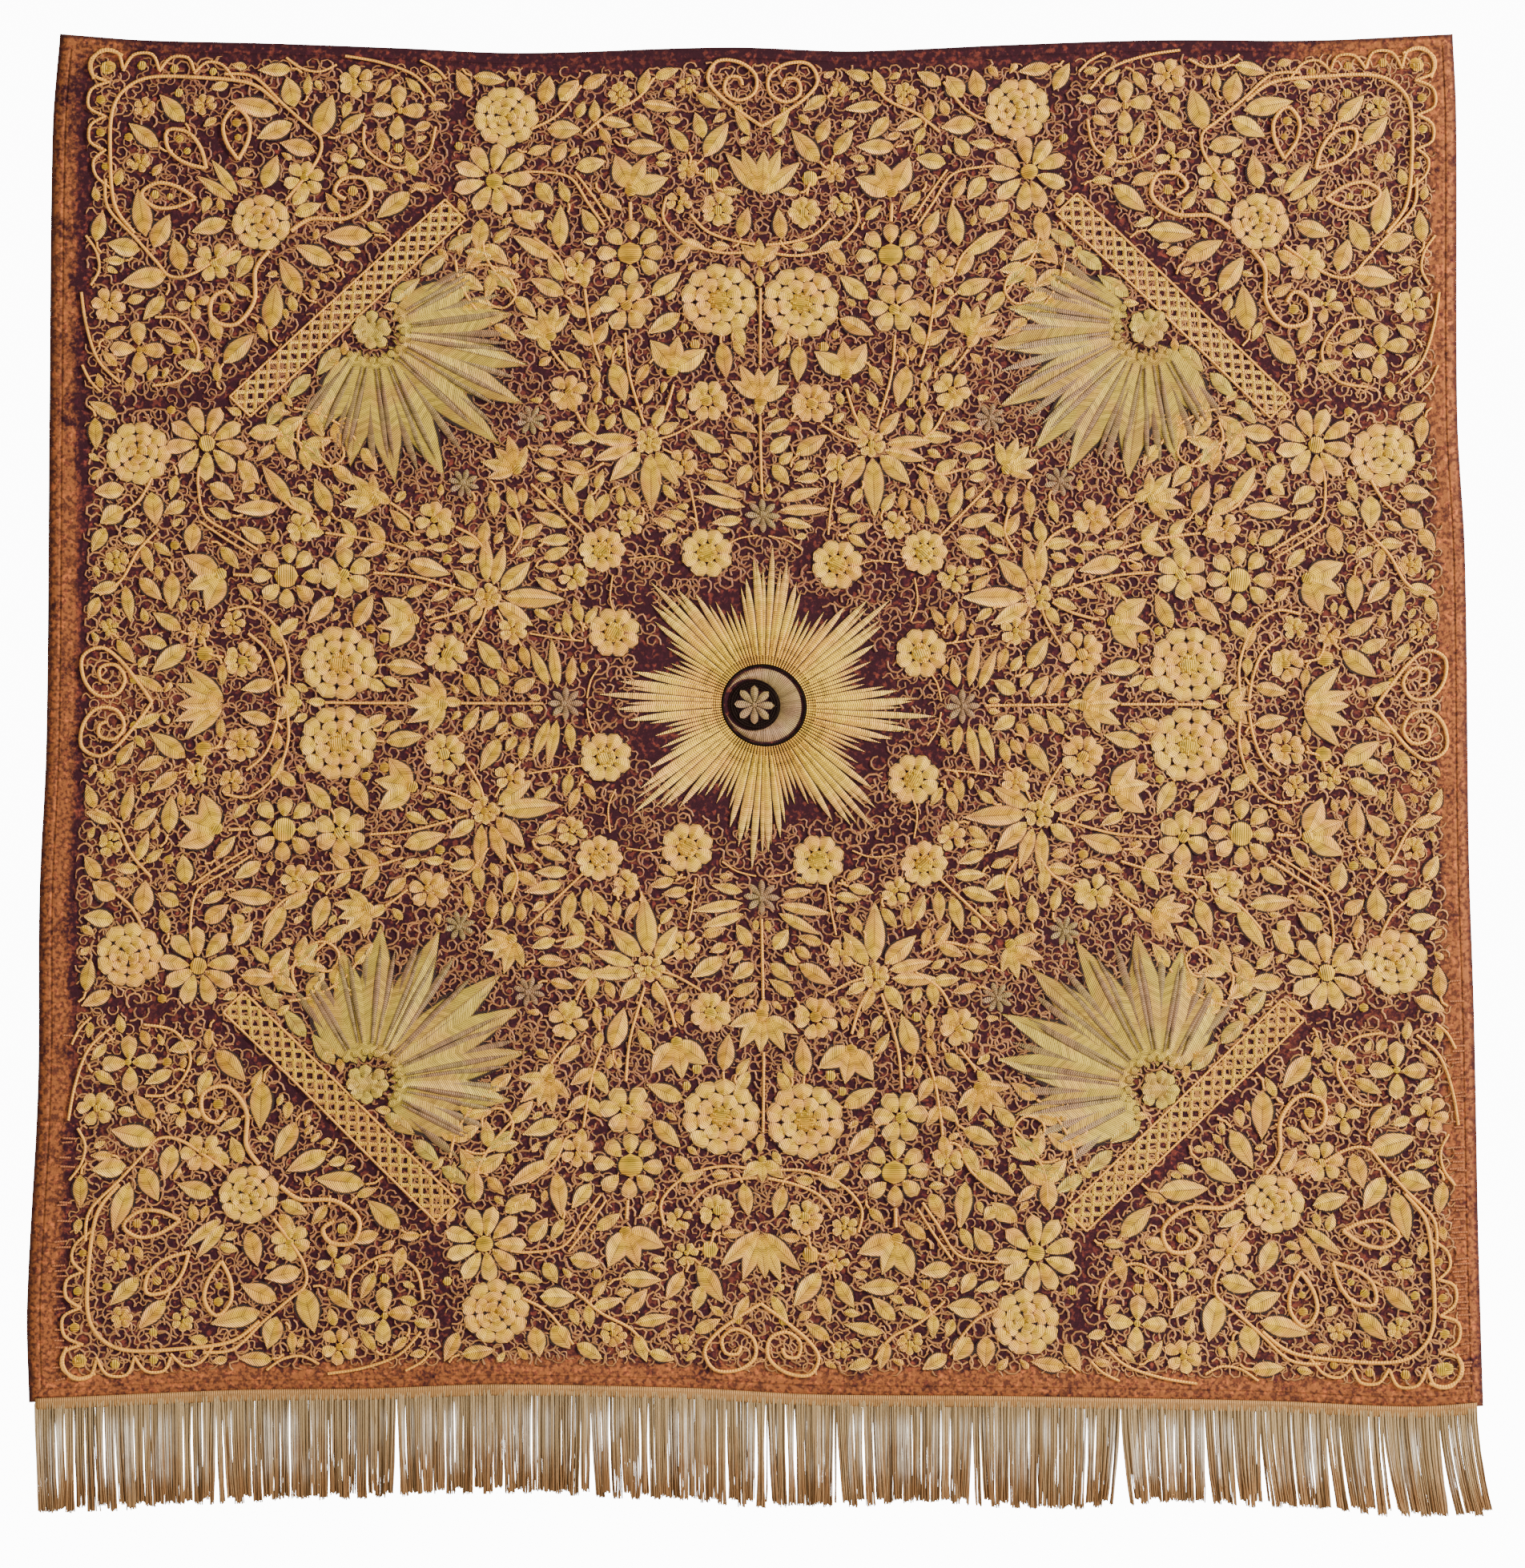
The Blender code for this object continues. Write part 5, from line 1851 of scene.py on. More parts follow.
def wear_at(across, down):
    """How worn the velvet is, from 0 to 1, at shares of its width and height."""
    right = np.clip((across - 0.86) / 0.12, 0, 1)
    low = np.clip((down - 0.93) / 0.06, 0, 1) * np.clip(0.25 + 2.2 * across, 0, 1)
    left = 0.75 * np.exp(-(((across - 0.06) / 0.05) ** 2) - (((down - 0.52) / 0.16) ** 2))
    left_edge = np.clip((0.11 - across) / 0.08, 0, 1) * (0.40 + 0.20 * down)
    left_low = 0.6 * np.exp(-(((across - 0.05) / 0.08) ** 2) - (((down - 0.78) / 0.14) ** 2))
    middle_right = 0.55 * np.clip((across - 0.60) / 0.3, 0, 1) * np.clip((down - 0.1) / 0.3, 0, 1)
    bottom_middle = 0.5 * np.exp(-(((across - 0.52) / 0.2) ** 2)) * np.clip((down - 0.78) / 0.15, 0, 1)
    broad = 0.22 + 0.25 * down
    worn = np.maximum.reduce([right, low, left, left_edge, left_low, middle_right, bottom_middle]) + broad
    edge = np.minimum.reduce([across, 1 - across, down, 1 - down])
    border = np.clip((0.024 - edge) / 0.010, 0, 1)
    return np.clip(np.clip(worn, 0, 1) * (0.56 + 0.44 * border) + 0.22 * border, 0, 1)


class HANGING_OT_velvet(bpy.types.Operator):
    """Makes the velvet ground in the shape in which it hangs"""

    bl_idname = "hanging.velvet"
    bl_label = "Velvet ground"

    def execute(self, context):
        cloth = context.scene.hanging_cloth
        shape = bmesh.new()
        bmesh.ops.create_grid(shape, x_segments=cloth.columns, y_segments=cloth.rows, size=0.5)
        bmesh.ops.translate(shape, verts=shape.verts, vec=(0.5, 0.5, 0))
        bmesh.ops.recalc_face_normals(shape, faces=shape.faces)
        bmesh.ops.solidify(shape, geom=shape.faces[:], thickness=CLOTH_THICKNESS)
        lowest = min(vert.co.z for vert in shape.verts)
        bmesh.ops.translate(shape, verts=shape.verts, vec=(0, 0, -lowest - CLOTH_THICKNESS / 2))
        sewn = shape.loops.layers.uv.new("cloth")
        for face in shape.faces:
            for loop in face.loops:
                x, y, _ = loop.vert.co
                loop[sewn].uv = (x * CLOTH_WIDTH, (1 - y) * CLOTH_HEIGHT)
        mesh = bpy.data.meshes.new("velvet")
        shape.to_mesh(mesh)
        shape.free()
        across, up, forward = mesh_points(mesh).T
        down = 1 - up
        border = np.minimum.reduce([across, 1 - across, down, 1 - down])
        depth = np.sin(across * 173 + 2.1 * np.sin(down * 61)) * np.sin(down * 149 + 1.7 * np.sin(across * 57))
        depth = depth * cloth.pucker * np.clip(border / 0.03, 0, 1)
        wear = mesh.attributes.new("wear", "FLOAT", "POINT")
        wear.data.foreach_set("value", wear_at(across, down).astype(np.float32))
        set_mesh_points(mesh, hung(across, down, forward + depth))
        mesh.materials.append(velvet_material())
        mesh.materials.append(backing_material())
        for face in mesh.polygons:
            face.material_index = 1 if face.normal.y > 0.5 else 0
        made = finish_piece("velvet", mesh)
        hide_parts("velvet_ground")
        return {"FINISHED"}


class HANGING_OT_sunburst(bpy.types.Operator):
    """Works the sunburst, and the silver crescent and star in its middle"""

    bl_idname = "hanging.sunburst"
    bl_label = "Sunburst, crescent and star"

    rays: IntProperty(name="Rays", description="Rays round the sunburst", default=104, min=16, max=240)

    def execute(self, context):
        motifs = make_motifs()
        long_rays = []
        chance = random.Random(2)
        for k in range(self.rays):
            angle = math.tau * k / self.rays
            reach = self.reach(angle) * (1.03 if k % 2 == 0 else 0.95) * chance.uniform(0.93, 1.06)
            width = 0.86 * math.tau * (SUNBURST_INNER + reach) / 2 / self.rays
            start = polar(0, 0, angle + CENTRE_TWIST, SUNBURST_INNER)
            length = reach - SUNBURST_INNER
            long_rays.append(Stitch(*start, angle + CENTRE_TWIST, length, width, 0.0002, chance.uniform(0.8, 1)))
        for k in range(8):
            middle = math.tau * k / 8 + CENTRE_TWIST
            for side, reach in ((0, 1.05), (-0.10, 0.93), (0.10, 0.95), (-0.19, 0.82), (0.19, 0.84)):
                angle = middle + side
                start = polar(0, 0, angle, SUNBURST_VALLEY * 0.50)
                length = SUNBURST_POINT * reach * chance.uniform(0.98, 1.04) - SUNBURST_VALLEY * 0.50
                long_rays.append(Stitch(*start, angle, length, 0.0050, 0.0007, 1))
        threads = context.scene.hanging_threads
        bright = satin_material("sun_satin", threads.sun, threads.sun_edge_and_highlight, 0.2)
        burst = work("sunburst_rays", [("ray", long_rays, bright)], motifs)
        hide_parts("sunburst")

        petals = [
            Stitch(*polar(-STAR_SHIFT, 0, k * math.tau / 8, 0.0012), k * math.tau / 8, 0.0140, 0.0052, 0.0012, 1)
            for k in range(8)
        ]
        middle = [Stitch(-STAR_SHIFT - 0.0022, 0, 0, 0.0044, 0.0044, 0.0012, 1)]
        groups = [("petal", petals, silver()), ("bead", middle, silver())]
        star = work("silver_star", groups, motifs)
        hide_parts("centre_star")
        self.make_crescent()
        ring = [(0.0302 * math.cos(a), 0.0302 * math.sin(a)) for a in np.linspace(0, math.tau, 49)]
        inner = [(0.0188 * math.cos(a) - 0.0070, 0.0188 * math.sin(a)) for a in np.linspace(0, math.tau, 37)]
        dark = cord_material("dark_cord", (0.014, 0.008, 0.007), metallic=0.0, roughness=0.95)
        rings = [(ring, 0.0020), (inner, 0.0012)]
        for radius in (0.0170, 0.0152, 0.0134):
            shade = [(radius * math.cos(a) - STAR_SHIFT, radius * math.sin(a)) for a in np.linspace(0, math.tau, 37)]
            rings.append((shade, 0.0021))
        couch("dark_rings", rings, dark, height=0.0004)
        return {"FINISHED"}

    @staticmethod
    def reach(angle):
        tip = SUNBURST_DIAGONAL + (SUNBURST_POINT - SUNBURST_DIAGONAL) * math.cos(2 * angle) ** 2
        point = abs(math.cos(4 * angle)) ** SUNBURST_SHARPNESS
        return SUNBURST_VALLEY + (tip - SUNBURST_VALLEY) * point

    @staticmethod
    def make_crescent():
        """The crescent: threads laid from its inner to its outer edge over a domed card."""
        steps = 64
        rings = 5
        horn = math.acos(
            (CRESCENT_HOLLOW**2 - CRESCENT_RADIUS**2 - CRESCENT_SHIFT**2)
            / (2 * CRESCENT_RADIUS * CRESCENT_SHIFT)
        )
        shape = bmesh.new()
        rim = shape.verts.layers.float.new("rim")
        tone = shape.verts.layers.float.new("tone")
        thread = shape.loops.layers.uv.new("thread")
        rows = []
        for k in range(steps + 1):
            angle = -horn + 2 * horn * k / steps
            across = CRESCENT_SHIFT * math.sin(angle)
            inner = -CRESCENT_SHIFT * math.cos(angle) + math.sqrt(CRESCENT_HOLLOW**2 - across**2)
            inner = min(inner, CRESCENT_RADIUS)
            row = []
            for ring in range(rings + 1):
                share = ring / rings
                radius = inner + (CRESCENT_RADIUS - inner) * share
                dome = math.sin(math.pi * share) ** 0.7 if 0 < ring < rings else -0.1
                plump = min(1.0, (CRESCENT_RADIUS - inner) / 0.006)
                vert = shape.verts.new((radius * math.cos(angle), radius * math.sin(angle), 0.0022 * dome * plump))
                # Both edges get rim 1, which the thread material paints nearly black: a painted shadow round the
                # crescent.
                vert[rim] = 1.0 if ring in (0, rings) else 0.0
                vert[tone] = 1.0
                row.append(vert)
            rows.append(row)
        for k, (row, following) in enumerate(zip(rows, rows[1:])):
            for ring in range(rings):
                face = shape.faces.new((row[ring], row[ring + 1], following[ring + 1], following[ring]))
                for loop in face.loops:
                    turn = math.atan2(loop.vert.co.y, loop.vert.co.x)
                    loop[thread].uv = (turn * CRESCENT_RADIUS, 0)
        bmesh.ops.remove_doubles(shape, verts=shape.verts, dist=1e-6)
        mesh = bpy.data.meshes.new("crescent")
        shape.to_mesh(mesh)
        shape.free()
        mesh.materials.append(silver())
        lay_on_cloth(mesh)
        made = finish_piece("silver_crescent", mesh)
        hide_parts("crescent")


class HANGING_OT_heads(bpy.types.Operator):
    """Works the raised rosettes and roses"""

    bl_idname = "hanging.heads"
    bl_label = "Rosettes and roses"

    def execute(self, context):
        petals = []
        beads = []
        names = []
        counts = {}
        for head in HEADS:
            for place in self.places(head):
                counts[head.name] = counts.get(head.name, 0) + 1
                names.append(f"{head.name}_{counts[head.name]:02d}")
                self.work_head(head, *place, petals, beads)
        groups = [("petal", petals, gold()), ("bead", beads, gold_middle())]
        made = work("flower_heads", groups, make_motifs())
        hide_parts(*names)
        return {"FINISHED"}

    @staticmethod
    def places(head):
        """Where the mirrored copies of a head are, and which way each points."""
        found = []
        for a, b in ((head.u, head.v), (head.v, head.u)):
            for place in ((a, b), (-a, b), (a, -b), (-a, -b)):
                if place not in found:
                    found.append(place)
        made = []
        for u, v in found:
            turn = math.atan2(v, u) + head.twist
            distance = math.hypot(u, v)
            made.append((distance * math.cos(turn), distance * math.sin(turn), turn))
        return made

    @staticmethod
    def work_head(head, u, v, turn, petals, beads):
        """Rings of petals, each lying on the one outside it, and a knotted middle."""
        radius = head.radius
        if head.name == "ring_rosette":
            rings = [(head.petals, 0.30, 0.72, 0.0)]
            middle = 0.40
        elif head.name == "pair_rosette":
            rings = [(head.petals, 0.52, 0.50, 0.0), (8, 0.22, 0.44, 0.0009)]
            middle = 0.30
        else:
            rings = [
                (head.petals, 0.46, 0.56, 0.0),
                (6, 0.20, 0.44, 0.0009),
                (3, 0.02, 0.32, 0.0016),
            ]
            middle = 0.18
        for number, (count, start, length, lift) in enumerate(rings):
            width = 0.98 * math.tau * (start + 0.63 * length) / count
            for k in range(count):
                angle = turn + math.tau * (k + 0.5 * number) / count
                foot = polar(u, v, angle, start * radius)
                petals.append(Stitch(*foot, angle, length * radius, width * radius, lift, 1.0 - 0.08 * number))
        size = middle * radius
        beads.append(Stitch(*polar(u, v, turn, -size), turn, 2 * size, 2 * size, 0.0006, 0.8))
        for k in range(7):
            angle = turn + math.tau * k / 7
            knot = polar(u, v, angle, size * 0.62)
            beads.append(Stitch(knot[0] - 0.0012, knot[1], 0, 0.0024, 0.0024, 0.0022, 1.0))


class HANGING_OT_panels(bpy.types.Operator):
    """Works the four diagonal panels: a lattice band and a fan of leaves with its scrolls"""

    bl_idname = "hanging.panels"
    bl_label = "Diagonal panels"

    def execute(self, context):
        motifs = make_motifs()
        blocks = []
        gold_fan = {"ray": [], "leaf": [], "petal": [], "bead": []}
        silver_fan = {"ray": []}
        cords = []
        for number in range(4):
            outward = math.radians(45 + 90 * number)

            def spot(aside, inward):
                """A place of the panel: aside along its band, and inward from the band's outer edge."""
                distance = PANEL_FROM_MIDDLE - inward
                return (
                    distance * math.cos(outward) - aside * math.sin(outward),
                    distance * math.sin(outward) + aside * math.cos(outward),
                )

            self.lattice(spot, outward, blocks, cords)
            self.fan(spot, outward, gold_fan, silver_fan, cords)
        bands = work("lattice_bands", [("block", blocks, gold())], motifs)
        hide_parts(*(f"panel_band_{k}" for k in range(1, 5)))
        pale_gold = context.scene.hanging_threads.pale_gold
        pale = satin_material("pale_satin", pale_gold, pale_gold, 0.7)
        groups = [(kind, stitches, pale) for kind, stitches in gold_fan.items()]
        fans = work("panel_fans", groups, motifs, stray=9)
        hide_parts(*(f"panel_fan_{k}" for k in range(1, 5)))
        work("panel_silver", [("ray", silver_fan["ray"], silver())], motifs, stray=4)
        couch("panel_cords", cords, gold_cord())
        return {"FINISHED"}

    @staticmethod
    def lattice(spot, outward, blocks, cords):
        """A basket-stitched band: slanting bars that cross in a lattice, between two cords."""
        pitch = 0.0056
        rows = 4
        count = round(BAND_LENGTH / pitch)
        inner_width = BAND_WIDTH - 0.004
        for column in range(count):
            for row in range(rows):
                aside = -BAND_LENGTH / 2 + (column + 0.5) * BAND_LENGTH / count
                inward = 0.002 + (row + 0.5) * inner_width / rows
                slope = math.pi / 4 if (column + row) % 2 else -math.pi / 4
                turn = outward + math.pi / 2 + slope
                place = spot(aside, inward)
                length = 0.0064
                start = polar(*place, turn, -length / 2)
                blocks.append(Stitch(*start, turn, length, 0.0032, 0.0002, 1.0))
        half = BAND_LENGTH / 2
        corners = [spot(-half, 0.0008), spot(half, 0.0008), spot(half, BAND_WIDTH - 0.0008), spot(-half, BAND_WIDTH - 0.0008)]
        for start, end in zip(corners, corners[1:] + corners[:1]):
            cords.append((straight(start, end, 24), 0.0019))

    @staticmethod
    def fan(spot, outward, gold_fan, silver_fan, cords):
        """Nine long leaves spread from a knotted hub, with slim silver rays between and scrolls beside."""
        inwards = outward + math.pi
        foot_depth = BAND_WIDTH + FAN_FOOT
        foot = spot(0, foot_depth)
        step = FAN_SWEEP / FAN_LEAVES
        for k in range(FAN_LEAVES):
            angle = (k + 0.5) * step - FAN_SWEEP / 2
            length = fan_length(angle)
            turn = inwards + angle
            start = polar(*foot, turn, 0.016)
            gold_fan["leaf"].append(Stitch(*start, turn, length - 0.016, 0.0245, 0.0, 1.0))
            for side in (-1, 1):
                edge = polar(*foot, turn + side * 0.060, 0.030)
                silver_fan["ray"].append(
                    Stitch(*edge, turn + side * 0.020, length * 0.62, 0.0042, 0.0016, 1.0)
                )
        for k in range(FAN_LEAVES + 1):
            angle = k * step - FAN_SWEEP / 2
            turn = inwards + angle
            start = polar(*foot, turn, 0.040)
            silver_fan["ray"].append(Stitch(*start, turn, fan_length(angle) * 0.60, 0.0062, 0.0003, 0.9))
            knot = polar(*foot, turn, 0.024)
            gold_fan["bead"].append(Stitch(knot[0] - 0.003, knot[1], 0, 0.006, 0.006, 0.001, 0.9))
        gold_fan["bead"].append(Stitch(*polar(*foot, 0, -0.011), 0, 0.022, 0.022, 0.0003, 0.85))
        for k in range(8):
            angle = k * math.tau / 8
            gold_fan["petal"].append(Stitch(*polar(*foot, angle, 0.004), angle, 0.011, 0.0085, 0.0012, 1.0))
        for side in (-1, 1):
            gold_fan["leaf"].extend(
                Stitch(*spot(side * aside, inward), outward + math.pi / 2 * side + math.radians(lean) * side,
                       length, length * 0.36, 0.0, 1.0)
                for aside, inward, lean, length in (
                    (0.026, 0.030, 6, 0.030),
                    (0.056, 0.030, 4, 0.028),
                    (0.084, 0.031, 10, 0.026),
                    (0.094, 0.040, 58, 0.026),
                    (0.098, 0.062, 84, 0.026),
                )
            )
            scroll = [spot(side * a, b) for a, b in (
                (0.088, 0.052), (0.098, 0.058), (0.104, 0.074), (0.098, 0.090), (0.084, 0.092),
                (0.078, 0.080), (0.086, 0.072), (0.092, 0.079))]
            cords.append((smooth_path(scroll, 0.0035), 0.0021))


def straight(start, end, steps):
    return [
        (start[0] + (end[0] - start[0]) * k / steps, start[1] + (end[1] - start[1]) * k / steps)
        for k in range(steps + 1)
    ]


class HANGING_OT_garden(bpy.types.Operator):
    """Works the leaves, small flowers, knots, stems and scrolls that cover the ground"""

    bl_idname = "hanging.garden"
    bl_label = "Leaves, flowers and scrolls"

    def execute(self, context):
        design = draw_design()
        motifs = make_motifs()
        for kind, name in (("leaf", "leaves"), ("petal", "small_petals")):
            for left, word in ((True, "left"), (False, "right")):
                part = [stitch for stitch in design.everywhere(kind) if (stitch.u < 0) == left]
                work(f"{name}_{word}", [(kind, part, gold())], motifs, stray=20 + left)
        knots = [("bead", design.everywhere("bead"), gold_middle())]
        work("knots", knots, motifs, stray=31)
        stars = Design()
        for flower in SILVER_STARS:
            draw_flower(stars, flower, "axis" if flower.u == 0 else "eighth")
        rays = stars.everywhere("ray")
        middles = [(ray.u, ray.v) for ray in rays[::8]]
        silver_knots = [Stitch(u - 0.0025, v, 0, 0.005, 0.005, 0.001, 1) for u, v in middles]
        flowers = [("ray", rays, silver()), ("bead", silver_knots, silver())]
        work("silver_flowers", flowers, motifs)
        cords = []
        for path, thickness, where in design.cords:
            cords.extend((copy, thickness) for copy in repeated(path, where))
        for left, word in ((True, "left"), (False, "right")):
            part = [cord for cord in cords if (cord[0][0][0] + cord[0][-1][0] < 0) == left]
            couch(f"stems_{word}", part, gold_cord())
        return {"FINISHED"}


class HANGING_OT_filling(bpy.types.Operator):
    """Couches the fine scrolled filling on the ground between the motifs"""

    bl_idname = "hanging.filling"
    bl_label = "Scrolled filling"

    def execute(self, context):
        filling = context.scene.hanging_filling
        thread = filling.thread / filling.curl
        curls = [
            curl_object("open_curl", lambda s: 5.2 - 1.5 * s, 0.0, 1.0, thread),
            curl_object("wave", lambda s: 9.0 * math.cos(8.5 * s), 0.4, 1.25, thread),
            curl_object("tight_curl", lambda s: 3.0 + 7.0 * s, 1.0, 0.95, thread),
        ]
        material = filling_material()
        for number, (low, high, word) in enumerate(((-1, 0, "left"), (0, 1, "right"))):
            ground = self.ground(low, high)
            mesh = run_tree(
                filling_tree(),
                ground,
                {
                    "First curl": curls[0],
                    "Second curl": curls[1],
                    "Third curl": curls[2],
                    "Spacing": filling.spacing,
                    "Curl size": filling.curl,
                    "Seed": 40 + number,
                    "Thread": material,
                },
            )
            self.hold_inside(mesh)
            u, v, _ = mesh_points(mesh).T
            wear = mesh.attributes.new("wear", "FLOAT", "POINT")
            wear.data.foreach_set("value", wear_at(*on_cloth(u, v)).astype(np.float32))
            lay_on_cloth(mesh)
            finish_piece(f"filling_{word}", mesh)
        return {"FINISHED"}

    @staticmethod
    def ground(low, high):
        """Half of the flat ground, with how thickly it is filled."""
        shape = bmesh.new()
        bmesh.ops.create_grid(shape, x_segments=140, y_segments=280, size=0.5)
        mesh = bpy.data.meshes.new("ground")
        shape.to_mesh(mesh)
        shape.free()
        points = mesh_points(mesh)
        reach = DESIGN_HALF - BORDER
        u = (low + (points[:, 0] + 0.5) * (high - low)) * reach
        v = points[:, 1] * 2 * reach
        set_mesh_points(mesh, np.stack((u, v, np.full_like(u, 0.0003)), axis=-1))
        design = draw_design()
        tree = KDTree(len(design.taken))
        for number, (a, b, _) in enumerate(design.taken):
            tree.insert((a, b, 0), number)
        tree.balance()
        filled = mesh.attributes.new("filling", "FLOAT", "POINT")
        filled.data.foreach_set("value", [filling_at(a, b, design, tree) for a, b in zip(u, v)])
        return mesh

    @staticmethod
    def hold_inside(mesh):
        """Keeps every curl off the edge of the cloth."""
        points = mesh_points(mesh)
        limit = DESIGN_HALF - 0.0120
        points[:, 0] = np.clip(points[:, 0], -limit, limit)
        points[:, 1] = np.clip(points[:, 1], -limit, limit)
        set_mesh_points(mesh, points)


def filling_at(u, v, design, tree):
    """How thickly the ground is filled, from 0 to 1, and not at all under what is worked."""
    a, b = sorted((abs(u), abs(v)))
    for _, number, distance in tree.find_range((a, b, 0), 0.030):
        if distance < design.taken[number][2] - 0.0020:
            return 0.0
    for start, end in zip(STRIP, STRIP[1:]):
        if distance_to_line((a, b), start, end) < STRIP_HALF_WIDTH:
            return 0.0
    from_middle = math.hypot(u, v)
    if from_middle < 0.094:
        return 0.0
    if from_middle < 0.160:
        return 0.75
    dark_corner = math.exp(-(((u + 0.5) / 0.2) ** 2 + ((v - 0.45) / 0.25) ** 2))
    return 1.0 - 0.25 * dark_corner


class HANGING_OT_border(bpy.types.Operator):
    """Couches the short copper bars that cross the worn border"""

    bl_idname = "hanging.border"
    bl_label = "Border bars"

    def execute(self, context):
        bars = []
        chance = random.Random(8)
        count = round(2 * DESIGN_HALF / BAR_PITCH)
        for k in range(2, count - 1):
            place = -DESIGN_HALF + k * BAR_PITCH + chance.gauss(0, 0.0009)
            for side, share in BAR_SHARES:
                low = min(1.0, max(0.0, (BAR_TOP - place) / 0.14))
                if chance.random() > share * low:
                    continue
                start = DESIGN_HALF - chance.uniform(0.0025, 0.0060)
                end = start - (BORDER - 0.0050) * chance.uniform(0.6, 1.0)
                lean = chance.gauss(0, 0.0006)
                bars.append((straight((side * start, place), (side * end, place + lean), 3), 0.0018))
        copper = context.scene.hanging_threads.copper
        material = cord_material("copper_cord", copper, 0.0018, 0.05, 0.7)
        couch("border_bars", bars, material, height=0.0003)
        return {"FINISHED"}


class HANGING_OT_fringe(bpy.types.Operator):
    """Hangs the metal-thread fringe from its narrow heading"""

    bl_idname = "hanging.fringe"
    bl_label = "Fringe"

    def execute(self, context):
        fringe = context.scene.hanging_fringe
        width = CLOTH_WIDTH - 2 * FRINGE_INSET
        empty = bpy.data.meshes.new("fringe_roots")
        mesh = run_tree(
            fringe_tree(),
            empty,
            {
                "Width": width,
                "Threads": fringe.threads,
                "Locks": LOCKS,
                "Thread radius": fringe.radius,
                "Kink": 0.0007,
                "Seed": 3,
                "Thread": fringe_material(),
            },
        )
        self.hang(mesh, width)
        threads = finish_piece("fringe_threads", mesh)
        heading = self.make_heading(width)
        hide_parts("fringe")
        return {"FINISHED"}

    @staticmethod
    def hang(mesh, width):
        """Moves threads that hang straight, one unit long, to their lengths, leans and partings."""
        x, y, forward = mesh_points(mesh).T
        root_across = np.empty(len(mesh.vertices), np.float32)
        mesh.attributes["root"].data.foreach_get("value", root_across)
        along = np.clip(root_across / width, 0, 1)
        fall = np.clip(-y, 0, 1.1)
        across = FRINGE_INSET / CLOTH_WIDTH + (1 - 2 * FRINGE_INSET / CLOTH_WIDTH) * along
        root = hung(across, np.ones_like(across), 0.0)
        stray = x - along * width
        sway = smooth_curve(LOCK_LEAN, along)
        for parting in PARTINGS:
            away = (along - parting.along) * CLOTH_WIDTH
            sway = sway + np.sign(away) * parting.width / 2 * np.exp(-np.abs(away) / PARTING_REACH)
        lock = np.floor(along * LOCKS)
        sway = sway + 0.0007 * np.sin(1.7 * lock) + 0.0005 * np.sin(4.1 * lock)
        length = smooth_curve(LOCK_LENGTH, along) * (1 + 0.03 * np.sin(2.9 * lock))
        root[:, 0] += stray + sway * np.minimum(fall, 1) ** LOCK_BEND
        root[:, 1] -= forward + 0.0012 * np.sin(2.3 * lock) * fall
        root[:, 2] -= 0.0008 + fall * (HEADING_HEIGHT + length - 0.0008)
        set_mesh_points(mesh, root)

    @staticmethod
    def make_heading(width):
        """The heading: a narrow woven tape, sewn to the hem."""
        columns = 300
        rows = [(-0.0030, 0.0012), (-0.0028, 0.0019), (0.0012, 0.0018), (0.0036, 0.0014), (0.0056, 0.0011),
                (0.0058, -0.0002), (0.0054, -0.0009), (0.0002, -0.0009)]
        shape = bmesh.new()
        thread = shape.loops.layers.uv.new("thread")
        bmesh.ops.create_grid(shape, x_segments=columns, y_segments=len(rows), size=0.5)
        for vert in shape.verts:
            vert.co.x = (vert.co.x + 0.5) * width
            vert.co.y = round((vert.co.y + 0.5) * len(rows))
        for face in shape.faces:
            for loop in face.loops:
                loop[thread].uv = (loop.vert.co.x, loop.vert.co.y * 0.0012)
        mesh = bpy.data.meshes.new("heading")
        shape.to_mesh(mesh)
        shape.free()
        x, row, _ = mesh_points(mesh).T
        across = (FRINGE_INSET + x) / CLOTH_WIDTH
        root = hung(across, np.ones_like(across), 0.0)
        drop, forward = np.array(rows)[np.round(row).astype(int) % len(rows)].T
        root[:, 1] -= forward + 0.00012 * np.sin(x * 2200)
        root[:, 2] -= drop
        set_mesh_points(mesh, root)
        shape = bmesh.new()
        shape.from_mesh(mesh)
        bmesh.ops.remove_doubles(shape, verts=shape.verts, dist=1e-6)
        bmesh.ops.holes_fill(shape, edges=shape.edges)
        bmesh.ops.recalc_face_normals(shape, faces=shape.faces)
        shape.to_mesh(mesh)
        shape.free()
        mesh.materials.append(cord_material("heading_tape", (0.38, 0.19, 0.06), 0.0016, 0.2))
        return finish_piece("fringe_heading", mesh)


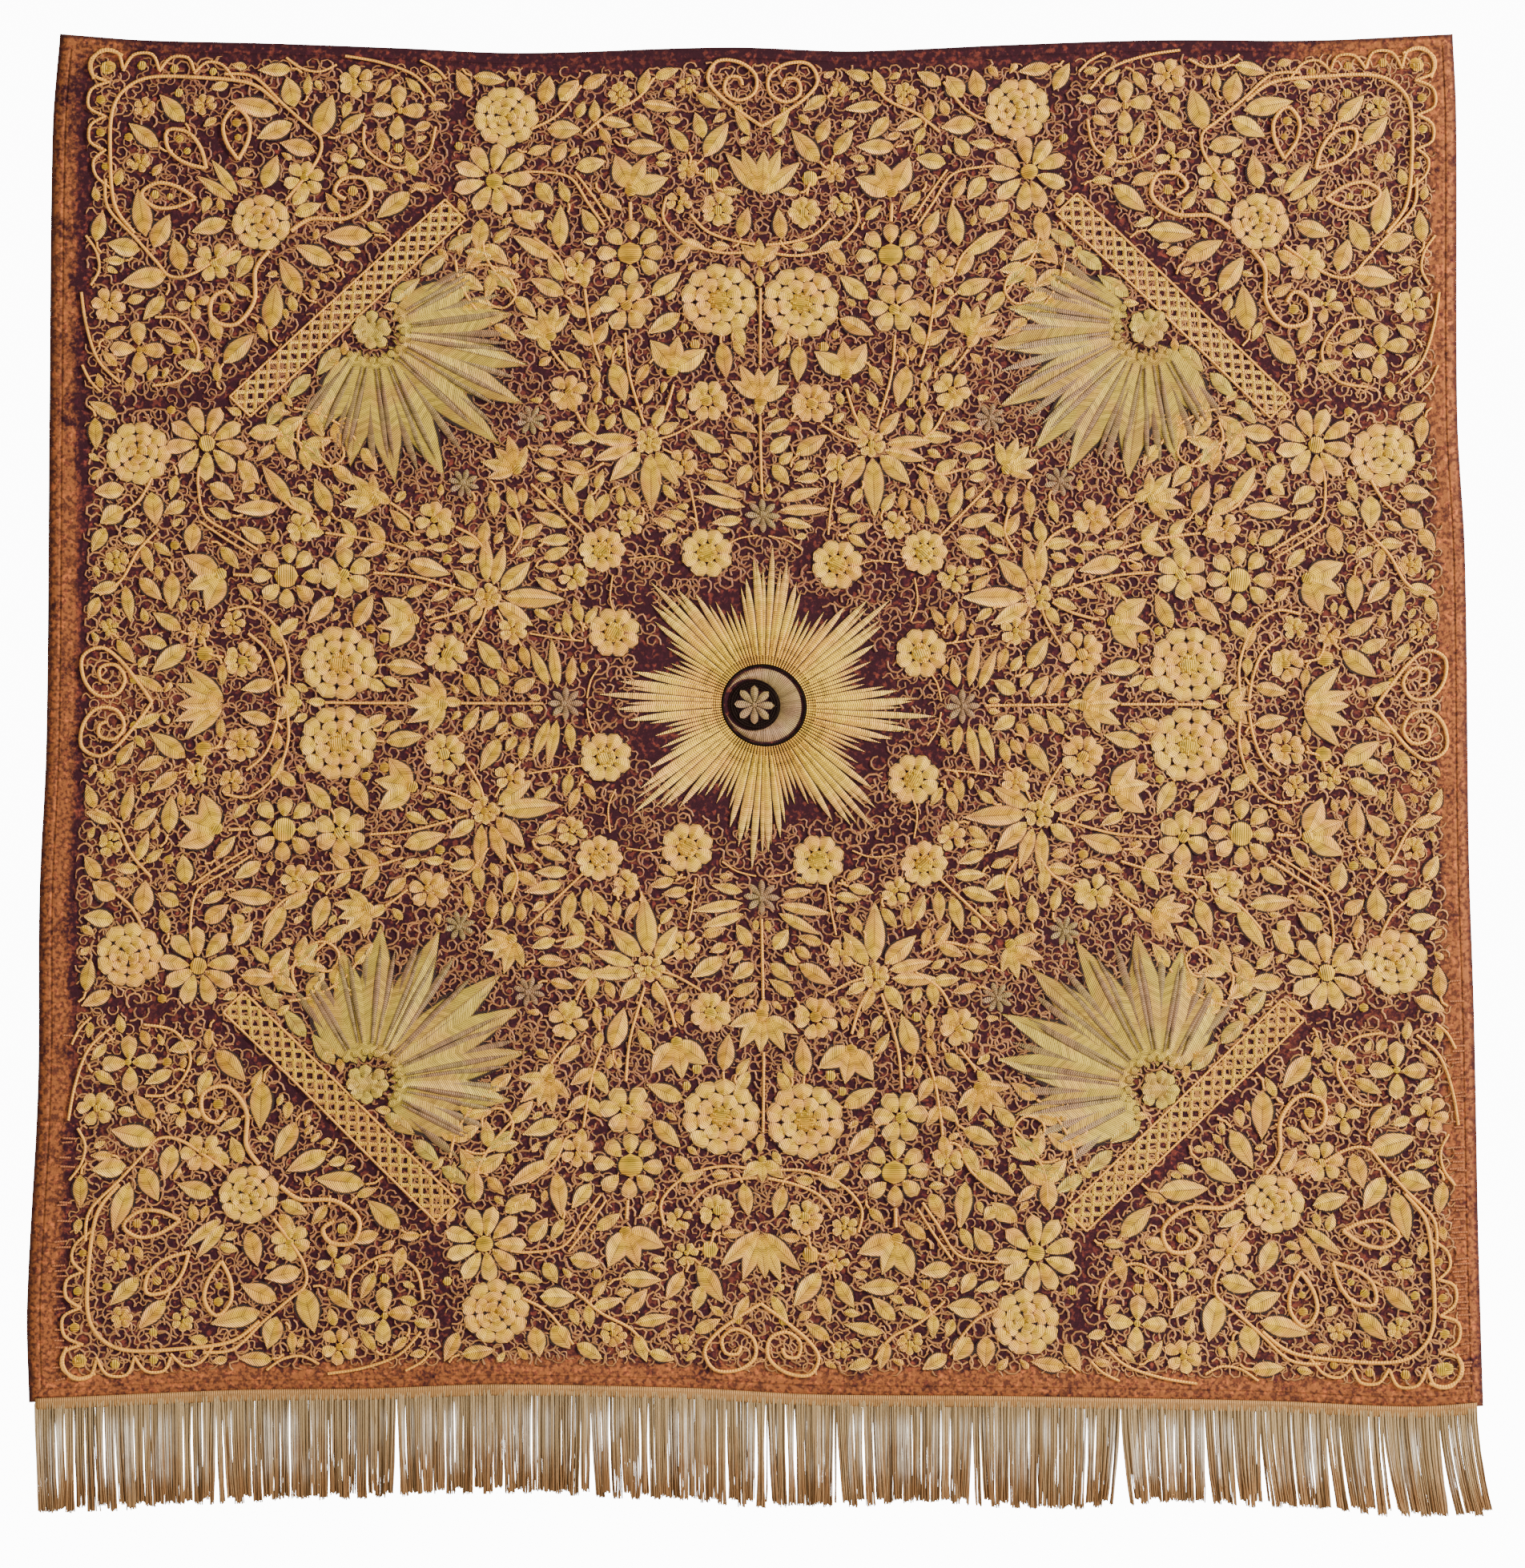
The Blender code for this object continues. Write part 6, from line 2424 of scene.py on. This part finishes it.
class HANGING_OT_stage(bpy.types.Operator):
    """Sets the camera, the studio lights and the floor"""

    bl_idname = "hanging.stage"
    bl_label = "Stage"

    def execute(self, context):
        stage = context.scene.hanging_stage
        camera = bpy.data.cameras.new("camera")
        camera.sensor_width = 36
        camera.lens = camera.sensor_width * stage.distance / stage.frame_height
        seen = bpy.data.objects.new("camera", camera)
        seen.location = (0.0036, -stage.distance, -0.5514)
        seen.rotation_euler = (math.pi / 2, 0, 0)
        context.scene.collection.objects.link(seen)
        context.scene.camera = seen
        lights = [
            ("key", (4.2, -2.4, 1.4), 0.8, 600),
            ("fill", (-2.6, -2.8, 0.2), 2.0, 38),
            ("low", (0.2, -2.8, -1.2), 1.6, 14),
        ]
        for name, place, size, power in lights:
            light = bpy.data.lights.new(name, "AREA")
            light.energy = power
            light.size = size
            light.color = (1.0, 0.95, 0.86)
            lamp = bpy.data.objects.new(name, light)
            lamp.location = place
            aim = np.array((0, 0, -0.55)) - np.array(place)
            lamp.rotation_euler = Vector(aim).to_track_quat("-Z", "Y").to_euler()
            context.scene.collection.objects.link(lamp)
        world = context.scene.world or bpy.data.worlds.new("studio")
        context.scene.world = world
        world.use_nodes = True
        tree = world.node_tree
        background = tree.nodes.get("Background") or tree.nodes.new("ShaderNodeBackground")
        seen_directly = tree.nodes.new("ShaderNodeLightPath").outputs["Is Camera Ray"]
        colour = mix_colour(tree, seen_directly, (1.0, 0.95, 0.87, 1), (1, 1, 1, 1))
        tree.links.new(colour, background.inputs["Color"])
        strength = math_node(tree, "MULTIPLY_ADD", seen_directly, 12.0, 0.34)
        tree.links.new(strength, background.inputs["Strength"])
        pale, tree, shader = new_material("studio_paper", 0.95, 0.0)
        shader.inputs["Base Color"].default_value = (0.9, 0.9, 0.9, 1)
        shader.inputs["Emission Color"].default_value = (1, 1, 1, 1)
        seen_directly = tree.nodes.new("ShaderNodeLightPath").outputs["Is Camera Ray"]
        tree.links.new(math_node(tree, "MULTIPLY", seen_directly, 12.0), shader.inputs["Emission Strength"])
        mesh = bpy.data.meshes.new("floor")
        corners = [(-6, -6, -1.3), (6, -6, -1.3), (6, 6, -1.3), (-6, 6, -1.3)]
        mesh.from_pydata(corners, [], [(0, 1, 2, 3)])
        mesh.materials.append(pale)
        floor = bpy.data.objects.new("floor", mesh)
        context.scene.collection.objects.link(floor)
        return {"FINISHED"}


class HANGING_PT_panel(bpy.types.Panel):
    """Lists the settings and the pieces of the hanging"""

    bl_idname = "HANGING_PT_panel"
    bl_label = "Embroidered hanging"
    bl_space_type = "VIEW_3D"
    bl_region_type = "UI"
    bl_category = "Hanging"

    def draw(self, context):
        layout = self.layout
        for name, group in SETTINGS:
            box = layout.box()
            box.label(text=group.__doc__)
            settings = getattr(context.scene, name)
            for prop in group.__annotations__:
                box.prop(settings, prop)
        for operator in OPERATORS:
            layout.operator(operator.bl_idname)


SETTINGS = [
    ("hanging_cloth", ClothSettings),
    ("hanging_threads", ThreadSettings),
    ("hanging_filling", FillingSettings),
    ("hanging_fringe", FringeSettings),
    ("hanging_stage", StageSettings),
]
OPERATORS = [
    HANGING_OT_velvet,
    HANGING_OT_sunburst,
    HANGING_OT_heads,
    HANGING_OT_panels,
    HANGING_OT_garden,
    HANGING_OT_filling,
    HANGING_OT_border,
    HANGING_OT_fringe,
    HANGING_OT_stage,
]


def register():
    for name, group in SETTINGS:
        bpy.utils.register_class(group)
        setattr(bpy.types.Scene, name, PointerProperty(type=group))
    for operator in OPERATORS:
        bpy.utils.register_class(operator)
    bpy.utils.register_class(HANGING_PT_panel)


def unregister():
    bpy.utils.unregister_class(HANGING_PT_panel)
    for operator in reversed(OPERATORS):
        bpy.utils.unregister_class(operator)
    for name, group in reversed(SETTINGS):
        delattr(bpy.types.Scene, name)
        bpy.utils.unregister_class(group)


def main():
    register()
    for operator in OPERATORS:
        space, action = operator.bl_idname.split(".")
        getattr(getattr(bpy.ops, space), action)()


if __name__ == "__main__":
    main()
